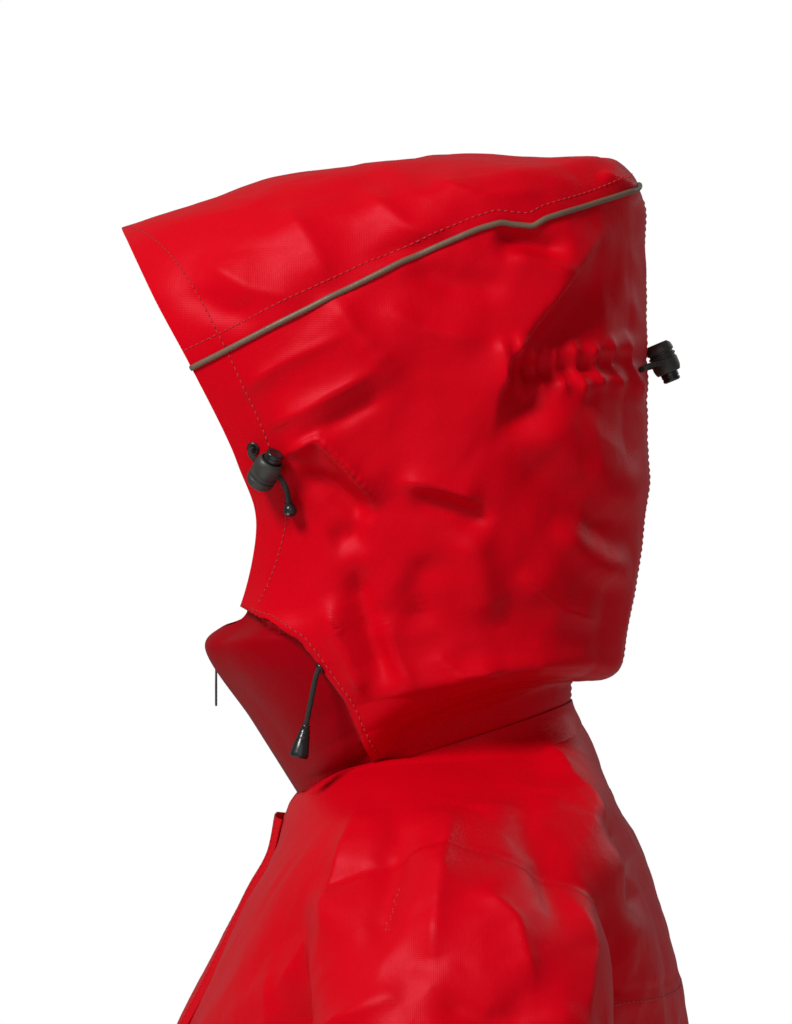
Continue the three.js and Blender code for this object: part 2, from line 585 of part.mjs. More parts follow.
// The tunnel inside the hem, a strip of facing turned up behind the shell.
function hemTunnel() {
  const last = BODY.length - 1;
  const depth = CLOTH + 1.5 + CORD / 2;
  const frames = bodyAngles(last)
    .slice(2, -2)
    .map((a) => {
      const at = bodyPoint(last, a);
      const inward = bodyPoint(last - 0.2, a).sub(at).normalize();
      const normal = bodyPoint(last, a + 0.01).sub(bodyPoint(last, a - 0.01)).cross(inward).normalize();
      return { at, inward, normal: normal.dot(point(at.x, at.y, 0)) > 0 ? normal : normal.negate() };
    });
  add("hem_tunnel", strip(frames, tunnelProfile(26, depth)), LINING_GREY);
  const run = frames.map((f) => f.at.clone().addScaledVector(f.inward, 13).addScaledVector(f.normal, -depth));
  add("hem_drawcord", cordSolid(run, CORD, 46, 6), CORD_BLACK);
}

// ---------------------------------------------------------------- front zip and storm flap

// Frames down the centre front, from the top of the collar to just above the hem.
function zipFrames() {
  const collar = [0.95, 0.5, 0].map((share) => {
    const [y, z] = zipEdge(share);
    const half = NECK_HALF + (0.9 * HOOD_HALF - NECK_HALF) * share;
    return { y, z, half, deep: (NECK_BACK - y) / 2 };
  });
  const body = bodyRows.slice(1).map((t) => {
    const [half, y, backY, z] = stationAt(BODY, t);
    return { y, z, half, deep: (backY - y) / 2 };
  });
  const line = [...collar, ...body];
  return line.map((p, i) => {
    const [a, b] = [line[Math.max(0, i - 1)], line[Math.min(line.length - 1, i + 1)]];
    const normal = point(0, b.z - a.z, a.y - b.y).normalize();
    return { at: point(0, p.y, p.z), inward: point(1, 0, 0), normal, half: p.half, deep: p.deep };
  });
}

// How far a section has curved back from its front at a distance x from the middle.
const recede = (f, x) => f.deep * (1 - (1 - (Math.abs(x) / f.half) ** ROUND) ** (1 / ROUND));

function frontZip() {
  const frames = zipFrames();
  const tapeTop = -CLOTH - 7 * GAP;
  const tape = [[1.2, tapeTop, tapeTop - 0.8], [TAPE_REACH, tapeTop - 0.6, tapeTop - 1.4]];
  const teeth = [[0.8, tapeTop + GAP + TEETH_HEIGHT, tapeTop + GAP], [TEETH_HALF, tapeTop + GAP + TEETH_HEIGHT, tapeTop + GAP]];
  for (const [name, side] of SIDES) {
    const facing = frames.map((f) => ({ ...f, inward: point(side, 0, 0) }));
    add(`zip_tape_${name}`, strip(facing, tape), TAPE_BLACK);
    add(`zip_teeth_${name}`, strip(facing, teeth), TAPE_BLACK);
  }
  const flapFrames = frames.slice(3, -1);
  const columns = [-FLAP_HALF, -FLAP_HALF + 8, -FLAP_HALF + 13, 0, FLAP_HALF - 13, FLAP_HALF - 8, FLAP_HALF];
  const raised = (x) => (Math.abs(x) > FLAP_HALF - 10 ? 2.5 * GAP : FLAP_STAND);
  const rows = flapFrames.map((f) =>
    columns.map((x) => f.at.clone().add(point(x, recede(f, x), 0)).addScaledVector(f.normal, raised(x))),
  );
  add("storm_flap", largest(wall(rows, 1.4, 0).subtract(wall(bodyGrid, GAP, -CLOTH))), SHELL_RED);
}

frontZip.place = () => {
  const [top, next] = zipFrames();
  const down = next.at.clone().sub(top.at).normalize();
  return { top: top.at, down, normal: point(0, down.z, -down.y) };
};

// The front slider: a plate each side of the teeth, joined by a thin post between the two rows, with two
// lugs and a pin for its puller. Its own Z is out of the cloth and its own Y runs down the zip.
const LUG_HEIGHT = 1.7;
const PIN_RADIUS = 0.6;

function pullerLoop(height) {
  const lug = (x) => box(0.9, 3, LUG_HEIGHT + 1, x, 0, height + LUG_HEIGHT / 2);
  const pin = fromGeometry(
    new THREE.CylinderGeometry(PIN_RADIUS, PIN_RADIUS, 4.4, 12).rotateZ(Math.PI / 2).translate(0, 0, height + LUG_HEIGHT),
  );
  return lug(2).add(lug(-2)).add(pin);
}

function puller(length) {
  const ring = fromGeometry(new THREE.CylinderGeometry(1.5, 1.5, 2.4, 16).rotateZ(Math.PI / 2));
  const hole = fromGeometry(new THREE.CylinderGeometry(PIN_RADIUS + GAP, PIN_RADIUS + GAP, 4, 16).rotateZ(Math.PI / 2));
  const shape = new THREE.Shape();
  shape.moveTo(-1.2, 0.9).lineTo(1.2, 0.9).lineTo(2.6, 0.4 * length).lineTo(2.6, length - 2.6);
  shape.absarc(0, length - 2.6, 2.6, 0, Math.PI).lineTo(-2.6, 0.4 * length).lineTo(-1.2, 0.9);
  const blade = new THREE.ExtrudeGeometry(shape, { depth: 1.1, bevelEnabled: false, curveSegments: 8 });
  return ring.add(fromGeometry(blade.translate(0, 0, -0.55))).subtract(hole);
}

function frontSlider() {
  const { top, down, normal } = frontZip.place();
  const half = SLIDER_LENGTH / 2;
  const teethTop = -CLOTH - 6 * GAP + TEETH_HEIGHT;
  const tapeBack = -CLOTH - 7 * GAP - 1.4;
  const plate = box(8, SLIDER_LENGTH, 1.2, 0, 0, teethTop + GAP + 0.6);
  const backPlate = box(8, SLIDER_LENGTH, 1.2, 0, 0, tapeBack - GAP - 0.6);
  const post = box(1, 3, teethTop - tapeBack + 4 * GAP, 0, -half + 1.6, (teethTop + tapeBack) / 2);
  const lugs = pullerLoop(teethTop + GAP + 1.2);
  const place = top.clone().addScaledVector(down, half + 2);
  const across = normal.clone().cross(down).negate();
  const matrix = pose(place, normal, across);
  add("front_zip_slider", turned(plate.add(backPlate).add(post).add(lugs), matrix), SLIDER_METAL);
  const pinHeight = teethTop + GAP + 1.2 + LUG_HEIGHT;
  const hang = THREE.MathUtils.radToDeg(Math.acos(-down.z)); // it hangs clear, because the collar leans out
  const hung = puller(22).rotate([hang, 0, 0]).translate([0, 0, pinHeight]);
  add("front_zip_puller", turned(hung, matrix), SLIDER_METAL);
}

// ---------------------------------------------------------------- pocket zips

// The line of a hand pocket's zip on the left front, leaning out towards the side seam.
function pocketLine() {
  const at = (z, angle) => {
    const t = range(401, 6, BODY.length - 1).reduce((a, b) =>
      Math.abs(stationAt(BODY, b)[3] - z) < Math.abs(stationAt(BODY, a)[3] - z) ? b : a,
    );
    return bodyPoint(t, angle);
  };
  const [top, bottom] = [at(POCKET_TOP, 0.62), at(POCKET_TOP - POCKET_LENGTH, 0.82)];
  const down = bottom.clone().sub(top).normalize();
  const beside = at(POCKET_TOP - POCKET_LENGTH / 2, 0.8).sub(at(POCKET_TOP - POCKET_LENGTH / 2, 0.64)).normalize();
  const normal = beside.clone().cross(down).normalize();
  if (normal.y > 0) normal.negate();
  return { top, down, normal, length: POCKET_LENGTH };
}

function pockets() {
  const { top, down, normal, length } = pocketLine();
  const across = normal.clone().cross(down).negate();
  const flat = pose(top, normal, across);
  const tape = box(17, length + 12, 1, 0, length / 2, 0.5).add(box(4, length + 2, 1, 0, length / 2, 1.3));
  const front = wall(bodyGrid, 0, -CLOTH);
  const matrix = flat.clone().setPosition(top.addScaledVector(normal, standOff(turned(tape, flat), normal, front)));
  const body = box(8.6, SLIDER_LENGTH, 2.4, 0, 0, 2.5).subtract(box(4.8, SLIDER_LENGTH + 2, 1.2, 0, 0, 1.7));
  const slider = body.add(pullerLoop(3.7)).translate([0, 9, 0]);
  const hung = puller(24).translate([0, 9, 3.7 + LUG_HEIGHT]);
  const bag = wall(
    [6.2, 7, 8, 8.5].map((t) => range(7, 0.3, 0.95).map((a) => bodyPoint(t, a))),
    -CLOTH - 4 * GAP,
    -CLOTH - 4 * GAP - LINING,
  );
  for (const [name, side] of SIDES) {
    const place = (made) => sided(turned(made, matrix), side);
    add(`pocket_zip_${name}`, place(tape), TAPE_BLACK);
    add(`pocket_slider_${name}`, place(slider), SLIDER_METAL);
    add(`pocket_puller_${name}`, place(hung), PLASTIC_BLACK);
    add(`pocket_bag_${name}`, sided(bag, side), LINING_GREY);
  }
}

// ---------------------------------------------------------------- cord locks

const LOCK_HOLE_Z = 3; // height of the cord hole above the lock's middle
const LOCK_FLOOR = -LOCK_LENGTH / 2 + 1.5;
const PLUNGER_BOTTOM = -1;
const PLUNGER_TOP = LOCK_LENGTH / 2 + 5;

function lathe(profile, segments = 14) {
  const g = new THREE.LatheGeometry(profile.map(([r, z]) => new THREE.Vector2(r, z)), segments);
  return fromGeometry(g.rotateX(Math.PI / 2));
}

// The three pieces of a cord lock. Their own Z is the way out of the barrel and X is the way of the cord.
function lockPieces() {
  const end = LOCK_LENGTH / 2;
  const r = LOCK_RADIUS;
  const outside = [[0, -end], [r - 2, -end], [r - 0.4, -end + 2], [r, -3.4], [r, -1], [r - 0.7, -0.5], [r - 0.7, 0.5]];
  const rim = [[r, 1], [r - 0.1, end - 2.4], [r - 1.2, end], [LOCK_BORE, end]];
  const bore = [[LOCK_BORE, LOCK_FLOOR], [0, LOCK_FLOOR]];
  const hole = fromGeometry(
    new THREE.CylinderGeometry(CORD / 2 + 0.5, CORD / 2 + 0.5, 4 * r, 12).rotateZ(Math.PI / 2).translate(0, 0, LOCK_HOLE_Z),
  );
  const barrel = lathe([...outside, ...rim, ...bore]).subtract(hole);
  const p = PLUNGER_RADIUS;
  const stem = lathe([[0, PLUNGER_BOTTOM], [p, PLUNGER_BOTTOM], [p, PLUNGER_TOP - 1.2], [p - 1.2, PLUNGER_TOP], [0, PLUNGER_TOP]]);
  const slotHeight = CORD + 1 + PLUNGER_TRAVEL;
  const slotLow = LOCK_HOLE_Z - CORD / 2 - 0.5;
  const slot = box(4 * p, CORD + 1, slotHeight, 0, 0, slotLow + slotHeight / 2);
  class Coil extends THREE.Curve {
    getPoint(s) {
      const a = 2 * Math.PI * 3.2 * s;
      const [low, high] = [LOCK_FLOOR + GAP + 0.5, PLUNGER_BOTTOM - GAP - 0.5];
      return point(3.4 * Math.cos(a), 3.4 * Math.sin(a), low + (high - low) * s);
    }
  }
  return { barrel, plunger: stem.subtract(slot), spring: cordSolid(new Coil(), 0.9, 26, 5) };
}

function addLock(name, matrix, side = 1) {
  const { barrel, plunger, spring } = lockPieces();
  add(`${name}_barrel`, sided(turned(barrel, matrix), side), PLASTIC_BLACK);
  add(`${name}_plunger`, sided(turned(plunger, matrix), side), PLASTIC_BLACK);
  add(`${name}_spring`, sided(turned(spring, matrix), side), SPRING_STEEL);
}

// A lock lying on the hood with its barrel against the cloth. Turn is the barrel's lean in the side view,
// from straight up towards the back.
function lockOnHood(y, z, turn) {
  const { place, normal } = hoodPlace(y, z);
  const up = point(0, Math.sin(turn), Math.cos(turn));
  const axis = up.addScaledVector(normal, -up.dot(normal)).normalize();
  const across = axis.clone().cross(normal).normalize();
  const centre = place.clone().addScaledVector(normal, LOCK_RADIUS);
  const { barrel } = lockPieces();
  centre.addScaledVector(normal, standOff(turned(barrel, pose(centre, axis, across)), normal, hoodShell));
  return { matrix: pose(centre, axis, across), centre, axis, across, normal };
}

// ---------------------------------------------------------------- face locks, their cords and ball ends

const FACE_LOCK = [-0.513 * BRIM_REACH, 0.459 * HOOD_TOP];
const FACE_LOCK_TURN = 0.62;
const CORD_STEPS = 32;

// From the eyelet in the face hem, straight out, over into the lock's hole and down to the ball.
const FACE_CORD_ROUTE = [
  [91.4, -98.5, 155.6], [92.9, -99.1, 155.1], [94.9, -99.6, 154.1], [96.8, -99.3, 152.8], [98.3, -98.3, 151.3],
  [99, -96.6, 149.8], [99.4, -94.6, 148.4], [99.8, -92.6, 147], [100.2, -90.6, 145.5], [100.6, -88.6, 144.1],
  [101, -86.5, 142.7], [101.3, -84.6, 141.3], [101.4, -83, 139.6], [101, -81.7, 137.6], [100.2, -80.8, 135.4],
  [99.2, -80.2, 133.1], [98, -79.8, 130.9], [96.7, -79.5, 128.7], [95.9, -79.3, 127.3],
];

// The end of a cord's route, and its direction there.
function cordEnd(route) {
  const [before, end] = route.slice(-2).map((place) => point(...place));
  return { end, direction: end.clone().sub(before).normalize() };
}

function faceLocks() {
  const lock = lockOnHood(...FACE_LOCK, FACE_LOCK_TURN);
  const { end, direction } = cordEnd(FACE_CORD_ROUTE);
  const ballCentre = end.addScaledVector(direction, BALL_RADIUS + GAP);
  const cord = cordSolid(FACE_CORD_ROUTE.map((place) => point(...place)), CORD, CORD_STEPS);
  const ball = fromGeometry(new THREE.SphereGeometry(BALL_RADIUS, 16, 10).translate(...ballCentre.toArray()));
  for (const [name, side] of SIDES) {
    addLock(`face_lock_${name}`, lock.matrix, side);
    add(`face_cord_${name}`, sided(cord, side), CORD_BLACK);
    add(`cord_ball_${name}`, sided(ball, side), PLASTIC_BLACK);
  }
}

// ---------------------------------------------------------------- collar cords and their bell ends

// From the eyelet in the collar, straight out and then down.
const COLLAR_CORD_ROUTE = [
  [86.2, -62.9, 42], [87.8, -63.4, 41.7], [89.4, -64, 41.2], [90.6, -64.5, 40.3], [91.5, -65, 39.2],
  [92.1, -65.4, 37.9], [92.3, -65.8, 36.4], [92.3, -66.3, 33.7], [92.3, -66.9, 31.1], [92.3, -67.4, 28.4],
  [92.3, -67.9, 25.8], [92.3, -68.4, 23.1], [92.3, -69, 20.5], [92.3, -69.5, 17.8], [92.3, -70, 15.2],
  [92.3, -70.6, 12.6],
];

function collarCords() {
  const { end, direction } = cordEnd(COLLAR_CORD_ROUTE);
  const bellTop = end.addScaledVector(direction, GAP);
  const [wide, long] = [BELL_RADIUS, BELL_LENGTH];
  const mouth = [[wide - 0.4, long - 4], [wide, long - 1.5], [wide - 0.9, long], [0, long]];
  const bell = turned(lathe([[0, 0], [2.2, 0], [2.7, 1.5], ...mouth], 16), pose(bellTop, direction, point(1, 0, 0)));
  const cord = cordSolid(COLLAR_CORD_ROUTE.map((place) => point(...place)), CORD, CORD_STEPS);
  for (const [name, side] of SIDES) {
    add(`collar_cord_${name}`, sided(cord, side), CORD_BLACK);
    add(`cord_bell_${name}`, sided(bell, side), PLASTIC_BLACK);
  }
}

// ---------------------------------------------------------------- rear lock

const REAR_LOCK_Z = 0.655 * HOOD_TOP;

function rearLock() {
  const spine = range(241, 4, 9)
    .map((t) => hoodPoint(t, 1))
    .reduce((a, b) => (Math.abs(b.z - REAR_LOCK_Z) < Math.abs(a.z - REAR_LOCK_Z) ? b : a));
  const axis = point(0, 0.42, -1).normalize();
  const centre = point(0, spine.y + LOCK_RADIUS, spine.z);
  const back = point(0, 1, 0);
  centre.y += standOff(turned(lockPieces().barrel, pose(centre, axis, point(1, 0, 0))), back, hoodShell);
  addLock("rear_lock", pose(centre, axis, point(1, 0, 0)));
  const hole = centre.clone().addScaledVector(axis, LOCK_HOLE_Z);
  const foot = hoodPlace(0.93 * HOOD_BACK, hole.z);
  const side = foot.place.clone().addScaledVector(foot.normal, CORD / 2 + 2 * GAP);
  const half = [side, point(20, hole.y - 1.5, hole.z), point(12, hole.y, hole.z), point(5, hole.y, hole.z)];
  const route = [...half, ...half.map(mirrored).reverse()];
  add("rear_cord", cordSolid(route, CORD, 36), CORD_BLACK);
}

// ---------------------------------------------------------------- hanger loop

function hangerLoop() {
  const seat = hoodPoint(0.7, 1);
  const lying = wall(hoodGrid, -CLOTH - GAP, -CLOTH - GAP - 1.2);
  add("hanger_loop", lying.intersect(box(70, 30, 9, 0, seat.y, seat.z)), TAPE_BLACK);
}

hoodPanels();
hoodLinings();
faceHem();
bodyPanels();
sleeves();
cuffs();
hemTunnel();
frontZip();
frontSlider();
pockets();
faceLocks();
collarCords();
rearLock();
hangerLoop();

export default jacket;
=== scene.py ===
import json
import math

import bmesh
import bpy
import numpy as np
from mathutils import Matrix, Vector
from mathutils.kdtree import KDTree


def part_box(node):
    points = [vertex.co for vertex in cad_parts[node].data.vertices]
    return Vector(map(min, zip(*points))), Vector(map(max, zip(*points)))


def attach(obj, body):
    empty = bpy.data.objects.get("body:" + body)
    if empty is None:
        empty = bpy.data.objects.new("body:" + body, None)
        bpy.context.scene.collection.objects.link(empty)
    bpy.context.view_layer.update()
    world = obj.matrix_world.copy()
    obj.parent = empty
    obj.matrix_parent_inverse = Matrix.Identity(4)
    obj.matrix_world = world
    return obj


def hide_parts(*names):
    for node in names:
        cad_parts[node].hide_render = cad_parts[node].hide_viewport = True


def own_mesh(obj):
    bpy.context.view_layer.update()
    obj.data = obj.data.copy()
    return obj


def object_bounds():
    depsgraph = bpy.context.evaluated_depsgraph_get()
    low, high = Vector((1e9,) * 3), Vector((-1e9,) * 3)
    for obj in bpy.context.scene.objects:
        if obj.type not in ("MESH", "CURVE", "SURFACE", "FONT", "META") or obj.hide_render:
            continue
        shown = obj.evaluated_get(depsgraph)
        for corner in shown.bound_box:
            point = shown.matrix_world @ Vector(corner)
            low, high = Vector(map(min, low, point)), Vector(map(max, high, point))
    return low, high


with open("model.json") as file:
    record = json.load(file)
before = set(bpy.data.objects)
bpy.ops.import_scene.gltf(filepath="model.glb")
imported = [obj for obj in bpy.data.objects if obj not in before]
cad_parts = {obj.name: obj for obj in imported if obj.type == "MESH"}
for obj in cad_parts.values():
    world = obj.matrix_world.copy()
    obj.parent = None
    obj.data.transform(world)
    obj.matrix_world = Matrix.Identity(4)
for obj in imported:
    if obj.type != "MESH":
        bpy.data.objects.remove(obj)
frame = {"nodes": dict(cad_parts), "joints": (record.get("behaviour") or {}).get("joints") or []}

cad_box = [list(corner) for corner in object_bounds()]

# ------------------------------------------------------------------ view, floor and light
# The jacket is looked at square from the wearer's left, at the height of the cheek. A pale floor lies
# under the hem, a large soft light stands to the front and above, and the world fills in from all round.

camera = bpy.data.objects.new("camera", bpy.data.cameras.new("camera"))
bpy.context.collection.objects.link(camera)
camera.data.sensor_width = 36
camera.data.lens = 150
camera.location = (2.304, -0.024, 0.123)
camera.rotation_euler = (math.radians(90), 0, math.radians(90))
camera.data.clip_start = 0.1
camera.data.clip_end = 60
bpy.context.scene.camera = camera
bpy.context.scene.view_settings.view_transform = "Standard"


class Wire:
    """A value in a shader: Python operators on it add Math nodes."""

    def __init__(self, tree, socket):
        self.tree, self.socket = tree, socket

    def math(self, operation, *values):
        return node(self.tree, "ShaderNodeMath", {"operation": operation}, *values)

    def __add__(self, other):
        return self.math("ADD", self, other)

    def __sub__(self, other):
        return self.math("SUBTRACT", self, other)

    def __mul__(self, other):
        return self.math("MULTIPLY", self, other)

    def __rsub__(self, other):
        return self.math("SUBTRACT", other, self)

    __radd__, __rmul__ = __add__, __mul__


def node(tree, kind, settings=None, *values, out=0, **named):
    """Adds a node: its settings first, then its sockets by place or by name, and gives one output."""
    made = tree.nodes.new(kind)
    for key, value in (settings or {}).items():
        setattr(made, key, value)
    for key, value in [*enumerate(values), *named.items()]:
        socket = made.inputs[key.replace("_", " ") if isinstance(key, str) else key]
        if isinstance(value, Wire):
            tree.links.new(value.socket, socket)
        elif isinstance(value, tuple) and len(value) == 3 and socket.type == "RGBA":
            socket.default_value = (*value, 1)
        else:
            socket.default_value = value
    return Wire(tree, made.outputs[out])


def mix(tree, factor, first, second):
    """One colour to another."""
    made = tree.nodes.new("ShaderNodeMix")
    made.data_type = "RGBA"
    for key, value in ((0, factor), (6, first), (7, second)):
        if isinstance(value, Wire):
            tree.links.new(value.socket, made.inputs[key])
        else:
            made.inputs[key].default_value = value if key == 0 else (*value, 1)
    return Wire(tree, made.outputs[2])


def finish(name, build, **fixed):
    """A material: build(tree) gives what varies over the surface, and fixed sets the shader's own sockets."""
    material = bpy.data.materials.new(name)
    material.use_nodes = True
    tree = material.node_tree
    shader = tree.nodes["Principled BSDF"]
    for key, value in fixed.items():
        shader.inputs[key.replace("_", " ")].default_value = value
    for key, value in build(tree).items():
        tree.links.new(value.socket, shader.inputs[key.replace("_", " ")])
    return material


def floor_finish(tree):
    place = node(tree, "ShaderNodeTexCoord", out="Object")
    speckle = node(tree, "ShaderNodeTexNoise", None, Vector=place, Scale=6.0, Detail=4.0)
    return {"Base_Color": mix(tree, speckle, (0.86, 0.86, 0.85), (0.9, 0.9, 0.89))}


def mesh_object(name, points, faces, material, smooth=True):
    """A mesh in millimetres becomes an object in metres."""
    mesh = bpy.data.meshes.new(name)
    mesh.from_pydata((np.asarray(points, float) * 0.001).tolist(), [], [list(map(int, f)) for f in faces])
    mesh.materials.append(material)
    mesh.polygons.foreach_set("use_smooth", [smooth] * len(mesh.polygons))
    made = bpy.data.objects.new(name, mesh)
    bpy.context.collection.objects.link(made)
    return made


floor_level = 1000 * cad_box[0][2] - 1
floor = mesh_object(
    "floor",
    [(x, y, floor_level) for x, y in ((-1500, -1500), (1500, -1500), (1500, 1500), (-1500, 1500))],
    [(0, 1, 2, 3)],
    finish("pale_floor", floor_finish, Roughness=0.7),
)

world = bpy.data.worlds.new("studio")
bpy.context.scene.world = world
world.use_nodes = True
sky = world.node_tree
seen = node(sky, "ShaderNodeLightPath", out="Is Camera Ray")
sky.nodes["Background"].inputs["Color"].default_value = (1, 1, 1, 1)
sky.links.new((seen * 0.82 + 0.18).socket, sky.nodes["Background"].inputs["Strength"])


def soft_light(name, place, aim, size, watts):
    light = bpy.data.lights.new(name, "AREA")
    light.shape, light.size, light.energy = "DISK", size, watts
    made = bpy.data.objects.new(name, light)
    bpy.context.collection.objects.link(made)
    made.location = place
    made.rotation_euler = (Vector(aim) - Vector(place)).to_track_quat("-Z", "Y").to_euler()


soft_light("key_light", (1.7, -1.5, 1.9), (0, 0, 0.1), 0.8, 80)
soft_light("fill_light", (2.7, 0.2, 0.5), (0, 0, 0.1), 2.2, 9)
soft_light("back_light", (-1.6, 1.9, 1.3), (0, 0, 0), 1.6, 8)

# ------------------------------------------------------------------ free cord ends
# Braided cord 2.8 mm thick leaves an eyelet on each side. At the cheek it goes through its lock to a moulded
# ball, and at the collar it hangs down to a moulded bell that is easy to grip with gloves.


def knit_finish(dark, light, scale):
    def build(tree):
        place = node(tree, "ShaderNodeTexCoord", out="Object")
        loops = node(tree, "ShaderNodeTexVoronoi", None, Vector=place, Scale=scale)
        cloud = node(tree, "ShaderNodeTexNoise", None, Vector=place, Scale=30.0, Detail=4.0)
        bump = node(tree, "ShaderNodeBump", None, Strength=0.5, Distance=0.0006, Height=loops)
        colour = mix(tree, loops * 0.5 + cloud * 0.5, dark, light)
        return {"Base_Color": colour, "Roughness": cloud * 0.1 + 0.82, "Normal": bump}

    return build


cord_material = finish("braided_cord", knit_finish((0.006, 0.005, 0.004), (0.025, 0.022, 0.018), 1100.0))


def plastic_finish(dark, light, rough):
    def build(tree):
        place = node(tree, "ShaderNodeTexCoord", out="Object")
        grain = node(tree, "ShaderNodeTexNoise", None, Vector=place, Scale=900.0, Detail=2.0)
        scuff = node(tree, "ShaderNodeTexNoise", None, Vector=place, Scale=140.0, Detail=5.0)
        bump = node(tree, "ShaderNodeBump", None, Strength=0.15, Distance=0.0002, Height=grain)
        colour = mix(tree, scuff, dark, light)
        return {"Base_Color": colour, "Roughness": scuff * 0.18 + rough, "Normal": bump}

    return build


grey_plastic = finish("dark_grey_plastic", plastic_finish((0.018, 0.017, 0.015), (0.045, 0.043, 0.038), 0.36))
black_plastic = finish("black_plastic", plastic_finish((0.006, 0.006, 0.006), (0.014, 0.014, 0.014), 0.18))


def turned(profile, sides=40, ribs=0, rib_depth=0.0, rib_span=(0, 0)):
    """A turned shell about the Z axis: profile is (radius, height) from one axis point to another."""
    turn = 2 * math.pi * np.arange(sides) / sides
    points, faces = [(0, 0, profile[0][1])], []
    for radius, height in profile[1:-1]:
        ribbed = radius - (rib_depth * (np.cos(ribs * turn) > 0) if rib_span[0] < height < rib_span[1] else 0)
        points += list(zip(ribbed * np.cos(turn), ribbed * np.sin(turn), np.full(sides, height)))
    points.append((0, 0, profile[-1][1]))
    rings = len(profile) - 2
    last = 1 + (rings - 1) * sides
    for j in range(sides):
        k = (j + 1) % sides
        faces += [(0, 1 + k, 1 + j), (last + j, last + k, len(points) - 1)]
        faces += [(1 + i * sides + j, 1 + i * sides + k, 1 + (i + 1) * sides + k, 1 + (i + 1) * sides + j)
                  for i in range(rings - 1)]
    return points, faces


def standing(centre, axis, across=None):
    """A place with its Z along an axis, and its X across it."""
    axis = np.asarray(axis, float) / np.linalg.norm(axis)
    if across is None:
        across = np.cross(axis, [0, 0, 1.0] if abs(axis[2]) < 0.9 else [0, 1.0, 0])
    across = across - np.dot(across, axis) * axis
    across /= np.linalg.norm(across)
    return centre, across, np.cross(axis, across), axis


def assembled(name, shells, frame_at, material, body, side=1):
    """Closed shells in one piece, put in their place by (origin, x, y, z)."""
    origin, *axes = (np.asarray(v, float) for v in frame_at)
    points, faces = [], []
    for skin, rings in shells:
        base = len(points)
        points += [origin + x * axes[0] + y * axes[1] + z * axes[2] for x, y, z in skin]
        faces += [[base + k for k in ring] for ring in rings]
    made = mesh_object(name, np.array(points) * [side, 1, 1], faces, material, smooth=False)
    tidy = bmesh.new()
    tidy.from_mesh(made.data)
    bmesh.ops.recalc_face_normals(tidy, faces=tidy.faces[:])
    tidy.to_mesh(made.data)
    tidy.free()
    made.data.polygons.foreach_set("use_smooth", [True] * len(made.data.polygons))
    made.data.set_sharp_from_angle(angle=math.radians(38))
    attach(made, body)
    return made


def hanging_cord(name, points, material):
    """A cord is a curve through its points, in millimetres."""
    curve = bpy.data.curves.new(name, "CURVE")
    curve.dimensions = "3D"
    curve.bevel_depth = 0.0014
    curve.bevel_resolution = 4
    curve.use_fill_caps = True
    spline = curve.splines.new("POLY")
    spline.points.add(len(points) - 1)
    for place, point in zip(spline.points, points):
        place.co = (*(0.001 * point), 1)
    curve.materials.append(material)
    made = bpy.data.objects.new(name, curve)
    bpy.context.collection.objects.link(made)
    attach(made, "jacket")
    return made


cheek_route = np.array([
    (91.4, -98.5, 155.6), (92.9, -99.1, 155.1), (94.9, -99.6, 154.1), (96.8, -99.3, 152.8),
    (98.3, -98.3, 151.3), (99, -96.6, 149.8), (99.4, -94.6, 148.4), (99.8, -92.6, 147), (100.2, -90.6, 145.5),
    (100.6, -88.6, 144.1), (101, -86.5, 142.7), (101.3, -84.6, 141.3), (101.4, -83, 139.6),
    (101, -81.7, 137.6), (100.2, -80.8, 135.4), (99.2, -80.2, 133.1), (98, -79.8, 130.9),
    (96.7, -79.5, 128.7), (95.9, -79.3, 127.3),
])
collar_route = np.array([
    (86.2, -62.9, 42), (87.8, -63.4, 41.7), (89.4, -64, 41.2), (90.6, -64.5, 40.3), (91.5, -65, 39.2),
    (92.1, -65.4, 37.9), (92.3, -65.8, 36.4), (92.3, -66.3, 33.7), (92.3, -66.9, 31.1), (92.3, -67.4, 28.4),
    (92.3, -67.9, 25.8), (92.3, -68.4, 23.1), (92.3, -69, 20.5), (92.3, -69.5, 17.8), (92.3, -70, 15.2),
    (92.3, -70.6, 12.6),
])
ball_turn = np.radians([32, 45, 60, 75, 86, 88, 92, 94, 105, 120, 135, 150, 165])
ball_profile = [(0, -4.2), (1.75, -4.2), (2.0, -3.7), (1.9, -3.2)]
for angle in ball_turn:
    on_parting_line = abs(angle - math.pi / 2) < 0.05
    ball_profile.append(((3.42 if on_parting_line else 3.6) * math.sin(angle), -3.6 * math.cos(angle)))
ball_profile += [(0, 3.6)]
bell_profile = [
    (0, -0.4), (1.9, -0.4), (2.2, 0), (2.35, 1.0), (2.2, 1.3), (2.2, 1.7), (2.5, 2.0), (2.95, 3.6),
    (2.8, 3.8), (2.85, 4.3), (3.1, 4.6), (3.5, 6.6), (3.35, 6.8), (3.4, 7.3), (3.65, 7.6), (4.4, 12.4),
    (4.75, 14), (4.95, 15.2), (4.9, 16.2), (4.4, 16.9), (3.9, 17), (3.6, 16.6), (3.5, 15.8), (0, 15.4),
]
for name, side in (("left", 1), ("right", -1)):
    flip = np.array([side, 1, 1])
    for cord_name, end_name, route, profile, gap in (
        ("face_cord", "cord_ball", cheek_route, ball_profile, 3.9),
        ("collar_cord", "cord_bell", collar_route, bell_profile, 0.3),
    ):
        points = route * flip
        along = points[-1] - points[-2]
        along /= np.linalg.norm(along)
        cord = hanging_cord(f"{cord_name}_braid_{name}", points, cord_material)
        seat = standing(points[-1] + gap * along, along)
        end = assembled(f"{end_name}_moulded_{name}", [turned(profile, 36)], seat, black_plastic, "jacket")
        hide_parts(f"{cord_name}_{name}")
        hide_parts(f"{end_name}_{name}")
        length = 0.001 * float(np.linalg.norm(np.diff(points, axis=0), axis=1).sum())
        tuple(0.001 * points[0])

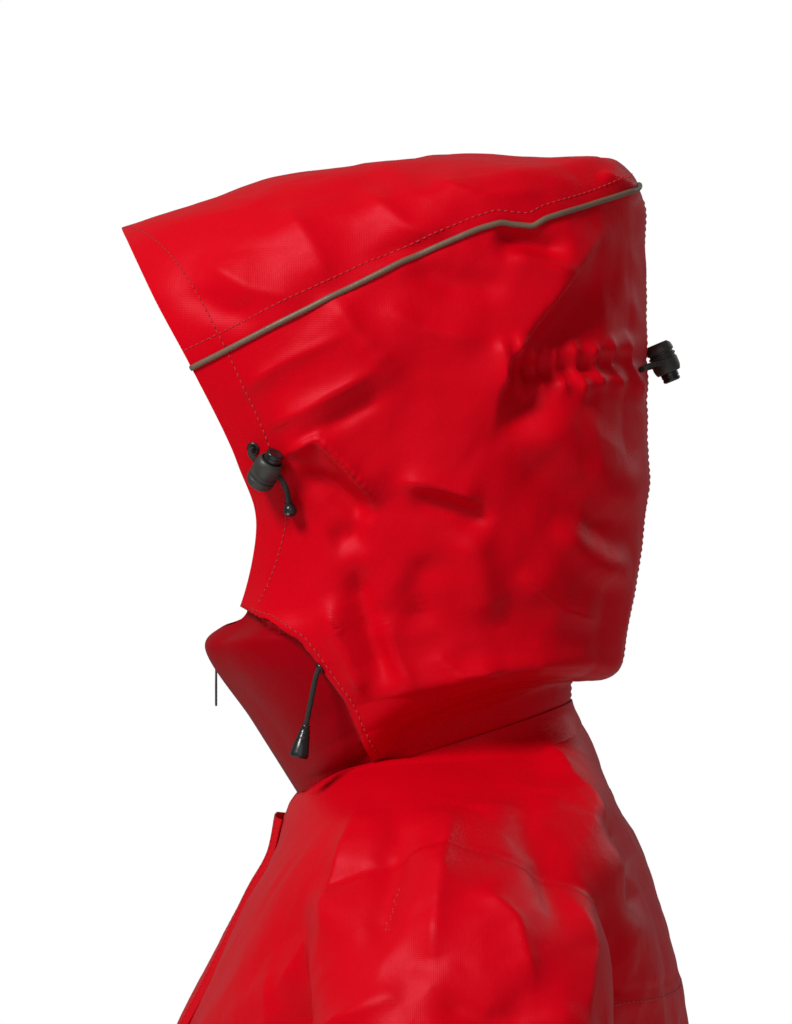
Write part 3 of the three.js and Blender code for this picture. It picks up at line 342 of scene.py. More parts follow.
# ------------------------------------------------------------------ surfaces of the worn jacket
# The hood and body are lofted through the stations that the panels were cut to: for the hood, the front
# edge, the spine and the half width at each height; for the body, one section after another.

neck_front_line = lambda share: (-76 - 51 * share, -30 + 81 * share)
hood_stations = np.array([
    (5, *neck_front_line(0), 70, 18, 66),
    (5, *neck_front_line(0.16), 84, 30, 87),
    (5, *neck_front_line(0.51), 95.2, 47.25, 93.3),
    (5, -127, 51, 104.2, 78.75, 95.4),
    (43.7, -108, 70, 107, 100.8, 98.6),
    (72.2, -97.2, 116.5, 109.8, 135.4, 102.8),
    (84, -107, 149, 110.3, 176.4, 106),
    (89, -130, 197.2, 110.9, 226.8, 108.1),
    (79.8, -148.8, 231.8, 112, 283.5, 104.9),
    (60.5, -160, 253.9, 89.6, 313.4, 92.2),
    (40.3, -166.5, 266.6, 22.4, 315, 72.1),
    (20.2, -170.3, 273.2, -65.4, 305.5, 44.5),
    (3, -172, 276, -171, 277, 3.2),
])
SQUARENESS = 2.4


def between_stations(stations, t):
    """Monotone cubic through the stations, for an array of places."""
    last = len(stations) - 1
    k = np.clip(np.floor(t).astype(int), 0, last - 1)
    f = (t - k)[..., None]
    slope = np.diff(stations, axis=0)
    tangent = np.empty_like(stations)
    tangent[0], tangent[-1] = slope[0], slope[-1]
    product = slope[:-1] * slope[1:]
    total = slope[:-1] + slope[1:]
    tangent[1:-1] = np.where(product > 0, 2 * product / np.where(total == 0, 1, total), 0)
    start, end = stations[k], stations[k + 1]
    rise = f * f * (3 - 2 * f)
    return start + (end - start) * rise + f * (1 - f) ** 2 * tangent[k] - f * f * (1 - f) * tangent[k + 1]


def signed_power(value, exponent):
    return np.sign(value) * np.abs(value) ** exponent


def side_view(points):
    """Where points appear, as y and z, to an eye at the camera's distance on their own side."""
    eye_far, eye_y, eye_z = 2304, -24, 123
    away = eye_far / (eye_far - np.abs(points[..., 0]))
    return eye_y + (points[..., 1] - eye_y) * away, eye_z + (points[..., 2] - eye_z) * away


def hood_surface(t, across, side=1):
    """Points of the hood at t, from the neck up, and across, from the front edge to the spine."""
    t, across = np.broadcast_arrays(np.asarray(t, float), np.asarray(across, float))
    edge_x, edge_y, edge_z, spine_y, spine_z, half = np.moveaxis(between_stations(hood_stations, t), -1, 0)
    start = np.arccos(np.clip((edge_x / half) ** (SQUARENESS / 2), 0, 1))
    angle = -start + across * (start + math.pi / 2)
    edge = -(np.sin(start) ** (2 / SQUARENESS))
    share = (signed_power(np.sin(angle), 2 / SQUARENESS) - edge) / (1 - edge)
    wide = np.clip(np.cos(angle), 0, 1) ** (2 / SQUARENESS)
    lift = 15 * wide**2 * np.clip(t, 0, 1) ** 1.5 * np.clip(2.6 - t, 0, 1)
    return np.stack([side * half * wide, edge_y + (spine_y - edge_y) * share,
                     edge_z + (spine_z - edge_z) * share + lift], -1)


def lattice(corner, seed):
    """A repeatable number from -1 to 1 for each corner of a grid."""
    raw = np.sin(corner @ np.array([127.1, 311.7, 74.7]) + seed * 17.31) * 43758.5453
    return 2 * (raw - np.floor(raw)) - 1


def swell(points, size, seed):
    """Soft noise, from -1 to 1."""
    q = points / size
    base = np.floor(q)
    f = q - base
    f = f * f * (3 - 2 * f)
    total = 0
    for corner in np.ndindex(2, 2, 2):
        weight = np.prod(np.where(np.array(corner) == 1, f, 1 - f), axis=-1)
        total = total + weight * lattice(base + np.array(corner), seed)
    return total


def crumple(points, size, seed):
    """Flat facets that meet in creases, as stiff coated cloth breaks, from -1 to 1."""
    warp = np.stack([swell(points, 1.7 * np.mean(size), seed + k) for k in (5, 6, 7)], -1)
    q = points / np.asarray(size, float) + 0.45 * warp
    base = np.floor(q)
    f = q - base
    order = np.argsort(-f, axis=-1)
    ranked = np.take_along_axis(f, order, -1)
    corner = base
    total = (1 - ranked[..., 0]) * lattice(corner, seed)
    for k in range(3):
        step = np.zeros_like(base)
        np.put_along_axis(step, order[..., k : k + 1], 1, -1)
        corner = corner + step
        after = ranked[..., k + 1] if k < 2 else 0
        total = total + (ranked[..., k] - after) * lattice(corner, seed)
    return total


def ridge(places, line, height, before, after, sharp=True):
    """A fold along a line in the side view. Before and after are its widths left and right of the line."""
    line = np.asarray(line, float)
    lengths = np.r_[0, np.cumsum(np.linalg.norm(np.diff(line, axis=0), axis=1))]
    best = np.full(len(places), 1e9)
    along = np.zeros(len(places))
    hand = np.ones(len(places))
    for k in range(len(line) - 1):
        start, step = line[k], line[k + 1] - line[k]
        share = np.clip(((places - start) @ step) / (step @ step), 0, 1)
        away = places - start - share[:, None] * step
        far = np.hypot(away[:, 0], away[:, 1])
        near = far < best
        best[near] = far[near]
        along[near] = (lengths[k] + share * np.linalg.norm(step))[near]
        hand[near] = np.sign(step[0] * away[:, 1] - step[1] * away[:, 0])[near]
    width = np.where(hand > 0, before, after)
    run = along / lengths[-1]
    fade = np.clip(np.minimum(run, 1 - run) / 0.28, 0, 1)
    fade = fade * fade * (3 - 2 * fade)
    shape = np.exp(-best / width) if sharp else np.exp(-((best / width) ** 2))
    return height * fade * shape


# ------------------------------------------------------------------ cloth
# The shell is one coated nylon laminate. Each panel is a thin two-sided piece of the same worn surface,
# so neighbours share their seam, and the layers sewn behind it follow the same folds.


class Cloth:
    """A worn surface in millimetres: points, faces and outward normals."""

    def __init__(self, points, faces, outward):
        self.points, self.faces = points, faces
        corners = points[faces]
        across = np.cross(corners[:, 2] - corners[:, 0], corners[:, -1] - corners[:, 1])
        normals = np.zeros_like(points)
        for k in range(faces.shape[1]):
            np.add.at(normals, faces[:, k], across)
        length = np.linalg.norm(normals, axis=1, keepdims=True)
        self.normals = normals / np.where(length == 0, 1, length)
        if np.sum(self.normals * outward) < 0:
            self.normals = -self.normals
            self.faces = faces[:, ::-1]

    def near(self, places, distance=0.0):
        """The same places moved onto the surface, or off it by a distance, and the normals there."""
        if not hasattr(self, "tree"):
            self.tree = KDTree(len(self.points))
            for k, point in enumerate(self.points):
                self.tree.insert(point, k)
            self.tree.balance()
        found = np.array([self.tree.find(place)[1] for place in places])
        normals = self.normals[found]
        lift = np.sum((places - self.points[found]) * normals, axis=1, keepdims=True)
        return places - (lift - distance) * normals, normals

    def piece(self, name, chosen, top, bottom, material):
        """A closed two-sided piece of the chosen faces, from top to bottom along the normals."""
        faces = self.faces[chosen]
        used, flat = np.unique(faces, return_inverse=True)
        faces = flat.reshape(faces.shape)
        count, sides = len(used), faces.shape[1]
        points, normals = self.points[used], self.normals[used]
        top, bottom = (np.broadcast_to(at, len(self.points))[used][:, None] for at in (top, bottom))
        sides = np.concatenate([faces[:, [k, (k + 1) % sides]] for k in range(sides)])
        seen = set(map(tuple, sides.tolist()))
        edges = [s for s in seen if (s[1], s[0]) not in seen]
        rims = [(b, a, a + count, b + count) for a, b in edges]
        shell = np.concatenate([faces, faces[:, ::-1] + count])
        layers = np.concatenate([points + top * normals, points + bottom * normals])
        made = mesh_object(name, layers, [*shell.tolist(), *rims], material)
        made.data.normals_split_custom_set_from_vertices(np.concatenate([normals, -normals]).tolist())
        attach(made, "jacket")
        return made


def nylon_finish(dark, light):
    def build(tree):
        place = node(tree, "ShaderNodeTexCoord", out="Object")
        cloud = node(tree, "ShaderNodeTexNoise", None, Vector=place, Scale=9.0, Detail=3.0)
        grain = node(tree, "ShaderNodeTexNoise", None, Vector=place, Scale=420.0, Detail=2.0)
        crinkle = node(tree, "ShaderNodeTexNoise", {"normalize": True}, Vector=place, Scale=55.0, Detail=5.0,
                       Roughness=0.6)
        crinkle_way = node(tree, "ShaderNodeTexNoise", None, Vector=place, Scale=16.0, Detail=2.0, out=1)
        weft, warp = (node(tree, "ShaderNodeTexWave", {"bands_direction": way}, Vector=place, Scale=340.0,
                           Distortion=0.6) for way in "ZY")
        weave = weft * warp
        colour = mix(tree, cloud * 0.7 + grain * 0.3, dark, light)
        bent = node(tree, "ShaderNodeVectorMath", {"operation": "MULTIPLY_ADD"}, crinkle_way,
                    (0.02, 0.02, 0.02), place)
        crease = node(tree, "ShaderNodeTexVoronoi", {"feature": "F1"}, Vector=bent, Scale=34.0)
        relief = weave * 0.12 + grain * 0.2 + crinkle * 0.4 + crease * 1.6
        bump = node(tree, "ShaderNodeBump", None, Strength=0.28, Distance=0.0012, Height=relief)
        return {
            "Base_Color": colour,
            "Roughness": cloud * 0.12 + grain * 0.08 + 0.32,
            "Normal": bump,
        }

    return build


red_nylon = finish("red_coated_nylon", nylon_finish((0.5, 0.0, 0.004), (0.62, 0.0002, 0.009)),
                   Specular_IOR_Level=0.17, Specular_Tint=(1, 0.25, 0.35, 1))
# The collar's nylon is the red nylon made darker. The darkening is painted shade for the shadow under the
# hood, not a different cloth.
collar_painted_shade_nylon = finish("collar_coated_nylon", nylon_finish((0.24, 0.0, 0.003), (0.33, 0.0002, 0.005)),
                      Specular_IOR_Level=0.1, Specular_Tint=(1, 0.25, 0.35, 1))

# ------------------------------------------------------------------ hood and collar
# A two-panel hood on a high collar: a top panel that runs into the brim, one side panel each side, and a
# collar half each side. Piping is sewn into the seam between the top and the sides.

piping_seam = np.array([
    (-202, 165.5), (-131.6, 202.2), (-20, 258.5), (5, 269.5), (21, 276), (33, 279.5), (42, 278.5),
    (50, 277.5), (57, 281.5), (76, 287.5), (103, 296), (111, 303), (140, 322),
])
collar_seam = np.array([(-90, -36), (-12, -37), (22, -52), (54, -76), (68, -100), (92, -150)])
LOWER_ROWS, TOP_ROWS, HALF_COLUMNS = 189, 90, 130


def crossing(values, t):
    """Where each column of values first turns positive."""
    found = []
    for column in values.T:
        k = max(1, int(np.argmax(column > 0)))
        found.append(t[k - 1] + (t[k] - t[k - 1]) * column[k - 1] / (column[k - 1] - column[k]))
    return np.array(found)


columns = np.linspace(0, 1, HALF_COLUMNS)
levels = np.linspace(0, 12, 1201)
probe_y, probe_z = side_view(hood_surface(levels[:, None], columns[None, :]))
at_piping = crossing(probe_z - np.interp(probe_y, piping_seam[:, 0], piping_seam[:, 1]), levels)
lower = np.linspace(0, 1, LOWER_ROWS + 1)[:, None] * at_piping
upper = at_piping + np.linspace(0, 1, TOP_ROWS + 1)[1:, None] * (12 - at_piping)
rows = np.concatenate([lower, upper])
left = hood_surface(rows, columns[None, :])
right = hood_surface(rows, columns[None, :], -1)
hood_grid = np.concatenate([right, left[:, ::-1][:, 1:]], axis=1)
row_count, column_count = hood_grid.shape[:2]
hood_points = hood_grid.reshape(-1, 3)
hood_t = np.concatenate([rows, rows[:, ::-1][:, 1:]], axis=1).reshape(-1)
index = np.arange(row_count * column_count).reshape(row_count, column_count)
hood_faces = np.stack([index[:-1, :-1], index[:-1, 1:], index[1:, 1:], index[1:, :-1]], -1).reshape(-1, 4)
hood_outward = hood_points - np.array([0, -10, 150])
face_row, face_column = np.divmod(np.arange(len(hood_faces)), column_count - 1)
from_edge = np.minimum(face_column, column_count - 2 - face_column)
on_left = face_column >= (column_count - 1) // 2
side_y, side_z = side_view(hood_points)
past_collar = side_y - np.interp(side_z, collar_seam[:, 0], collar_seam[:, 1])
seam_middle = (collar_seam[1:, 0] + collar_seam[:-1, 0]) / 2
seam_slope = np.interp(side_z, seam_middle, np.diff(collar_seam[:, 1]) / np.diff(collar_seam[:, 0]))
past_collar /= np.sqrt(1 + seam_slope**2)
in_collar = (past_collar[hood_faces].mean(axis=1) < 0) & (face_row < LOWER_ROWS)
in_side = (face_row < LOWER_ROWS) & ~in_collar
in_top = face_row >= LOWER_ROWS
collar_seam_points = np.intersect1d(hood_faces[in_collar], hood_faces[in_side])
snap = past_collar[collar_seam_points] / np.sqrt(1 + seam_slope[collar_seam_points] ** 2)
hood_points[collar_seam_points, 1] -= snap
hood_points[collar_seam_points, 2] += snap * seam_slope[collar_seam_points]
past_collar[collar_seam_points] = 0
side_y, side_z = side_view(hood_points)

side_folds = [
    ([(-90, 150), (-66, 163), (-49, 146), (-31, 123)], 8, 11, 4, True),
    ([(-80, 146), (-58, 136), (-36, 116)], -5, 6, 8, False),
    ([(-62, 106), (-40, 114)], -3, 7, 7, False),
    ([(-26, 141), (4, 134), (25, 127)], 4.5, 9, 3.5, True),
    ([(-18, 133), (8, 126), (30, 117)], -3.5, 5, 8, False),
    ([(14, 118), (22, 90), (29, 60)], 3.5, 9, 12, False),
    ([(92, 280), (66, 245), (49, 221), (37, 204), (32, 189), (27, 158)], 6.5, 5, 20, True),
    ([(104, 262), (74, 232), (58, 214), (47, 192), (42, 160)], -6, 12, 12, False),
    ([(30, 200), (60, 199), (90, 203), (116, 206)], -4.5, 6, 6, False),
    ([(40, 178), (76, 148), (110, 118)], 4.5, 20, 14, False),
    ([(36, 160), (68, 132), (106, 100)], -3.5, 14, 12, False),
    ([(-61, 80), (-54, 52), (-38, 20)], 4.5, 6, 5, True),
    ([(-50, 98), (-39, 62), (-27, 25)], -5, 7, 7, False),
    ([(-33, 70), (-24, 44), (-12, 24)], 3.5, 5, 6, True),
    ([(-10, 50), (10, 36), (36, 40)], 3, 8, 6, True),
    ([(28, 274), (48, 270), (70, 262)], -5, 5, 7, False),
    ([(34, 264), (52, 258), (74, 250)], 3.5, 4, 8, True),
    ([(-98, 166), (-64, 183), (-30, 202)], 4, 9, 6, True),
    ([(-84, 158), (-52, 174), (-26, 190)], -2.5, 5, 5, False),
    ([(-62, 244), (-42, 215), (-20, 192)], 3.5, 8, 8, True),
    ([(-36, 236), (-10, 222), (30, 214)], 3, 6, 9, True),
    ([(-112, 186), (-84, 204), (-44, 222)], 2.5, 7, 7, True),
    ([(-20, 258), (8, 246), (40, 244)], -2.5, 8, 8, False),
    ([(60, 120), (84, 96), (104, 84)], 3.5, 10, 8, False),
    ([(40, 92), (66, 70), (92, 62)], 3.5, 12, 7, True),
    ([(-6, 104), (-12, 80), (-10, 56)], -3, 9, 9, False),
]
top_folds = [
    ([(-134, 262), (-104, 244), (-66, 236)], 2.5, 10, 12, True),
    ([(-150, 246), (-118, 232), (-92, 228)], -2, 8, 8, False),
    ([(-86, 292), (-66, 262), (-60, 240)], 2.5, 8, 12, True),
    ([(-44, 300), (-18, 276), (12, 268)], 3, 9, 9, True),
    ([(-10, 304), (24, 292), (60, 296)], 2.5, 8, 8, True),
    ([(-40, 262), (-14, 266), (14, 274)], -2.5, 6, 6, False),
    ([(84, 306), (96, 300), (108, 296)], 3.5, 4, 4, True),
]


def hood_folds(y, z, shift=0.0):
    """How far the folds lift the hood from its plain shape."""
    flat = np.stack([y + shift * 9, z - shift * 6], -1)
    height = np.zeros(len(y))
    for line, rise, before, after, sharp in [*side_folds, *top_folds]:
        height += ridge(flat, line, rise, before, after, sharp)
    for k in range(8):
        y0 = 34 + 10 * k
        bend = 3 * math.sin(2.1 * k + 3 * shift)
        height += ridge(flat, [(y0 - 3, 220 + bend), (y0, 201), (y0 + 4, 184 - bend)], 3.6, 3.0, 3.4, True)
    return height


def smooth_step(value):
    value = np.clip(value, 0, 1)
    return value * value * (3 - 2 * value)


hood = Cloth(hood_points, hood_faces, hood_outward)
row_of = np.repeat(np.arange(row_count), column_count)
column_of = np.tile(np.arange(column_count), row_count)
is_left = column_of >= (column_count - 1) // 2
height = np.where(is_left, hood_folds(side_y, side_z), hood_folds(side_y, side_z, 1.0))
height = 1.35 * height + 2.4 * crumple(hood_points, (46, 46, 50), 3)
height += 0.8 * crumple(hood_points, (24, 24, 26), 11)
height += 0.3 * crumple(hood_points, (12, 12, 13), 23)
tip_fade = np.clip((hood_points[:, 1] + 172) / 60, 0.12, 1)
edge_length = np.linalg.norm(hood_grid - np.where(is_left.reshape(row_count, -1)[..., None],
                                                  hood_grid[:, -1:], hood_grid[:, :1]), axis=-1).reshape(-1)
edge_fade = 0.2 + 0.8 * smooth_step(edge_length / 30)
overhang = smooth_step((hood_points[:, 1] + 42) / 30)
foot = np.exp(-(((hood_t - 0.62) / 0.42) ** 2))
bulge = np.exp(-(((hood_t - 1.75) / 0.5) ** 2))
height = height * tip_fade * edge_fade * smooth_step(hood_t / 0.8) + overhang * (5 * bulge - 11 * foot)
by_zip = smooth_step((np.abs(hood_points[:, 0]) - 22) / 24)
recess = 6.5 * (1 - np.exp(past_collar / 1.2)) * (0.35 + 0.65 * np.exp(past_collar / 16))
collar_height = (0.4 * height - recess) * by_zip * smooth_step(hood_t / 0.5)
height = np.where((past_collar < 0) & (row_of < LOWER_ROWS), collar_height, height)
height = np.clip(height, -11, 10)
worn_hood = Cloth(hood_points + hood.normals * height[:, None], hood_faces, hood_outward)

top_panel = worn_hood.piece("hood_top_cloth", in_top, 0, -0.9, red_nylon)
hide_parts("hood_top_panel")
for name, half in (("left", on_left), ("right", ~on_left)):
    side = worn_hood.piece(f"hood_side_cloth_{name}", in_side & half, 0, -0.9, red_nylon)
    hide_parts(f"hood_side_{name}")
    # The collar halves use the darker nylon, whose darkening is painted shade.
    collar = worn_hood.piece(f"collar_cloth_{name}", in_collar & half, 0, -1.2, collar_painted_shade_nylon)
    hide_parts(f"collar_{name}")
# ------------------------------------------------------------------ piping and topstitching
# A reflective cord wrapped in grey-brown film is sewn all the way round the seam under the crown. The seams
# that lie flat are topstitched in red thread.


def tube(name, points, radius, material, sides=8):
    """A round tube along points."""
    points = np.asarray(points, float)
    count = len(points)
    before, after = np.roll(points, 1, axis=0), np.roll(points, -1, axis=0)
    before[0], after[-1] = points[0], points[-1]
    along = after - before
    along /= np.linalg.norm(along, axis=1, keepdims=True)
    up = np.tile([0.0, 0.0, 1.0], (count, 1))
    up[np.abs(along[:, 2]) > 0.9] = (0.0, 1.0, 0.0)
    for k in range(1, count):
        up[k] = up[k - 1] - np.dot(up[k - 1], along[k]) * along[k]
        up[k] /= np.linalg.norm(up[k])
    out = np.cross(along, up)
    out /= np.linalg.norm(out, axis=1, keepdims=True)
    up = np.cross(out, along)
    turn = 2 * math.pi * np.arange(sides) / sides
    radius = np.broadcast_to(radius, count)[:, None, None]
    ring = np.cos(turn)[None, :, None] * out[:, None] + np.sin(turn)[None, :, None] * up[:, None]
    skin = (points[:, None] + radius * ring).reshape(-1, 3)
    faces = []
    for i in range(count - 1):
        a, b = i * sides, (i + 1) * sides
        faces += [(a + j, a + (j + 1) % sides, b + (j + 1) % sides, b + j) for j in range(sides)]
    faces += [tuple(range(sides))[::-1], tuple((count - 1) * sides + j for j in range(sides))]
    made = mesh_object(name, skin, faces, material)
    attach(made, "jacket")
    return made


def stitches(name, lines, material, pitch=3.6, length=2.7, half=0.42):
    """Rows of topstitching: short threads along lines of (points, normals)."""
    skin, faces = [], []
    for points, normals in lines:
        steps = np.linalg.norm(np.diff(points, axis=0), axis=1)
        run = np.r_[0, np.cumsum(steps)]
        for k in range(int(run[-1] / pitch)):
            ends = [(k + 0.5) * pitch - length / 2, (k + 0.5) * pitch + length / 2]
            start, end = (np.array([np.interp(e, run, points[:, c]) for c in range(3)]) for e in ends)
            normal = np.array([np.interp(ends[0], run, normals[:, c]) for c in range(3)])
            normal /= np.linalg.norm(normal)
            side = np.cross(end - start, normal)
            side *= half / max(np.linalg.norm(side), 1e-9)
            base = len(skin)
            for share, rise in ((0, 0.02), (0.35, 0.42), (0.65, 0.42), (1, 0.02)):
                at = start * (1 - share) + end * share
                skin += [at + side, at + rise * normal, at - side, at - 0.3 * normal]
            for j in range(3):
                a, b = base + 4 * j, base + 4 * j + 4
                faces += [(a + i, a + (i + 1) % 4, b + (i + 1) % 4, b + i) for i in range(4)]
            faces += [(base + 3, base + 2, base + 1, base), tuple(base + 12 + i for i in range(4))]
    made = mesh_object(name, skin, faces, material)
    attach(made, "jacket")
    return made


def thread_finish(tree):
    place = node(tree, "ShaderNodeTexCoord", out="Object")
    twist = node(tree, "ShaderNodeTexNoise", None, Vector=place, Scale=900.0)
    return {"Base_Color": mix(tree, twist, (0.4, 0.0, 0.006), (0.55, 0.002, 0.012))}


def piping_finish(tree):
    place = node(tree, "ShaderNodeTexCoord", out="Object")
    beads = node(tree, "ShaderNodeTexNoise", None, Vector=place, Scale=700.0, Detail=2.0)
    dirt = node(tree, "ShaderNodeTexNoise", None, Vector=place, Scale=30.0, Detail=3.0)
    colour = mix(tree, dirt * 0.6 + beads * 0.4, (0.115, 0.07, 0.042), (0.18, 0.118, 0.075))
    bump = node(tree, "ShaderNodeBump", None, Strength=0.4, Distance=0.0004, Height=beads)
    return {"Base_Color": colour, "Roughness": beads * 0.2 + 0.35, "Normal": bump}


thread = finish("red_thread", thread_finish, Roughness=0.6)
piping_material = finish("reflective_piping", piping_finish)

piping_row = LOWER_ROWS
run = worn_hood.points[index[piping_row]] + 0.5 * worn_hood.normals[index[piping_row]]
piping = tube("hood_piping_cord", run, 1.6, piping_material)
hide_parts("hood_piping")


def row_line(row, first=0, last=None, distance=0.05):
    """A line along a row of the hood's grid, with its normals."""
    picked = index[row, first:last]
    return worn_hood.points[picked] + distance * worn_hood.normals[picked], worn_hood.normals[picked]


def column_line(column, first=0, last=None, distance=0.05):
    picked = index[first:last, column]
    return worn_hood.points[picked] + distance * worn_hood.normals[picked], worn_hood.normals[picked]


centre_column = (column_count - 1) // 2
chin_row = int(np.argmax(rows[:, 0] > 4))
collar_lines = []
for side in (1, -1):
    picked = collar_seam_points[side * hood_points[collar_seam_points, 0] > 0]
    picked = picked[np.argsort(hood_points[picked, 2])]
    drawn = worn_hood.points[picked]
    for _ in range(10):
        drawn[1:-1] = 0.5 * drawn[1:-1] + 0.25 * (drawn[:-2] + drawn[2:])
    collar_lines.append(worn_hood.near(drawn + np.array([0, 4, 1.5]), 0.05))
stitches("hood_topstitching", [
    row_line(piping_row + 4), *collar_lines,
    column_line(11, chin_row), column_line(column_count - 12, chin_row),
    column_line(centre_column + 4, 4, piping_row - 3), column_line(centre_column - 4, 4, piping_row - 3),
], thread)

# ------------------------------------------------------------------ hood linings
# Behind the shell: the facing that makes the tunnel for the face drawcord, the brim's foam stiffener, brushed
# chin guards inside the collar, and a hanger loop of tape sewn in at the nape.


lining = finish("grey_knit", knit_finish((0.05, 0.05, 0.055), (0.12, 0.12, 0.125), 700.0), Sheen_Weight=0.2)
fleece = finish("brushed_fleece", knit_finish((0.008, 0.008, 0.009), (0.03, 0.03, 0.033), 350.0),
                Sheen_Weight=0.5)
foam = finish("laminated_foam", knit_finish((0.012, 0.012, 0.012), (0.03, 0.03, 0.03), 500.0))
webbing = finish("black_webbing", knit_finish((0.008, 0.008, 0.008), (0.028, 0.028, 0.028), 600.0),
                 Sheen_Weight=0.15)

bow = np.clip(np.minimum(edge_length - 2, 20 - edge_length) / 3.5, 0, 1)
facing_faces = (face_row >= chin_row + 2) & (from_edge < 30)
facing_faces &= np.all(edge_length[hood_faces] < 21, axis=1)
facing = worn_hood.piece("face_hem_lining", facing_faces, -1.1 - 3.4 * bow, -1.9 - 3.4 * bow, lining)
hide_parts("face_hem_facing")

cord_run = []
for row in range(chin_row + 8, row_count - 16, 3):
    cells = index[row, centre_column:]
    k = int(np.argmin(np.abs(edge_length[cells] - 10.5)))
    cord_run.append(worn_hood.points[cells[k]] - 2.6 * worn_hood.normals[cells[k]])
cord_run = np.array(cord_run)
cord_run = np.concatenate([cord_run, (cord_run * [-1, 1, 1])[::-1]])
hem_cord = tube("face_hem_cord", cord_run, 1.3, cord_material)
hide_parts("face_drawcord")

centres = worn_hood.points[worn_hood.faces].mean(axis=1)
brim_span = (centres[:, 1] < -62) & (centres[:, 1] > -142) & in_top
brim_span &= (centres[:, 1] + centres[:, 2] * 0.36 > -38) & (face_row > piping_row + 5)
stiffener = worn_hood.piece("brim_foam", brim_span, -1.2, -2.9, foam)
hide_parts("brim_stiffener")

guard_rows = (centres[:, 2] > 5) & (centres[:, 1] < -66) & (face_row > 6)
for name, half in (("left", on_left), ("right", ~on_left)):
    span = in_collar & half & guard_rows & (np.abs(centres[:, 0]) > 17)
    guard = worn_hood.piece(f"chin_fleece_{name}", span, -1.5, -3.4, fleece)
    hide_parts(f"chin_guard_{name}")

loop_half = 14
loop_points, loop_faces = [], []
for k in range(-loop_half, loop_half + 1):
    cell = index[10, centre_column + k]
    sag = 4 * (1 - (k / loop_half) ** 2)
    for high in (4, -4):
        place = worn_hood.points[cell] - (2.2 + sag) * worn_hood.normals[cell] + np.array([0, 0, high])
        loop_points += [place, place - 1.1 * worn_hood.normals[cell]]
for k in range(2 * loop_half):
    a = 4 * k
    loop_faces += [(a, a + 4, a + 6, a + 2), (a + 1, a + 3, a + 7, a + 5)]
    loop_faces += [(a, a + 1, a + 5, a + 4), (a + 2, a + 6, a + 7, a + 3)]
loop_faces += [(0, 2, 3, 1), tuple(8 * loop_half + j for j in (0, 1, 3, 2))]
hanger = mesh_object("hanger_webbing", loop_points, loop_faces, webbing)
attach(hanger, "jacket")
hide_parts("hanger_loop")

# ------------------------------------------------------------------ body and sleeves
# Two fronts, a back, and a two-piece sleeve each side. The worn body and sleeves are one cloth surface, set
# in at the armholes, and the panels are cut from it along the seams.

body_stations = np.array([
    (66, -76, 70, -30, 18, -4),
    (118.3, -84, 83, -39, -6, -17),
    (172.7, -88, 93, -58, -29, -36),
    (194, -102.2, 112.3, -86, -68, -63),
    (190.1, -121.2, 126, -124, -112, -106),
    (172, -146, 134.3, -180, -175, -175),
    (161, -151, 137, -228, -228, -228),
    (167, -148, 129, -400, -400, -400),
    (178.6, -146, 131, -535, -535, -535),
    (190, -146, 132, -660, -660, -660),
])
sleeve_stations = np.array([
    (116.4, 6, -84, 40, 62),
    (166.8, 8, -97, 55.9, 73.7),
    (203.7, 9, -140, 58, 76),
    (218, 8, -205, 55, 74.5),
    (233, 1, -340, 51, 66.1),
    (244, -9, -440, 48, 61.6),
    (257, -28, -576, 45, 55),
    (265, -42, -640, 43, 51),
])
CUFF_FROM = 6.15
SIDE_SEAM_Y = -4
NECK_SLOPE = 48 / 146


def body_surface(t, angle):
    """Points of the body at t, from the neck down, and an angle from the front to the wearer's left."""
    t, angle = np.broadcast_arrays(np.asarray(t, float), np.asarray(angle, float))
    half, front, back, front_z, back_z, side_z = np.moveaxis(between_stations(body_stations, t), -1, 0)
    x = half * signed_power(np.sin(angle), 2 / SQUARENESS)
    share = (1 - signed_power(np.cos(angle), 2 / SQUARENESS)) / 2
    level = front_z + (back_z - front_z) * share
    return np.stack([x, front + (back - front) * share, level + (side_z - level) * (x / half) ** 2], -1)


def sleeve_frame(t):
    t = np.asarray(t, float)
    centre = lambda at: between_stations(sleeve_stations, np.clip(at, 0, 7))[..., :3]
    along = centre(t + 0.05) - centre(t - 0.05)
    along /= np.linalg.norm(along, axis=-1, keepdims=True)
    out = -np.cross([0, 1, 0], along)
    out /= np.linalg.norm(out, axis=-1, keepdims=True)
    return centre(t), along, out, -np.cross(along, out)


def sleeve_surface(t, angle, grow=0.0):
    """Points of the left sleeve at t, from the shoulder down, and an angle from out to the back."""
    t, angle = np.broadcast_arrays(np.asarray(t, float), np.asarray(angle, float))
    centre, along, out, back = sleeve_frame(t)
    across, deep = np.moveaxis(between_stations(sleeve_stations, t)[..., 3:], -1, 0)
    wide = (across + grow) * np.cos(angle)
    far = (deep + grow) * np.sin(angle)
    return centre + wide[..., None] * out + far[..., None] * back


def loft(rings):
    """A closed solid through rings."""
    rings = np.asarray(rings)
    count, sides = rings.shape[:2]
    faces = [
        (i * sides + j, i * sides + (j + 1) % sides, (i + 1) * sides + (j + 1) % sides, (i + 1) * sides + j)
        for i in range(count - 1) for j in range(sides)
    ]
    faces += [tuple(range(sides))[::-1], tuple((count - 1) * sides + j for j in range(sides))]
    return rings.reshape(-1, 3), faces


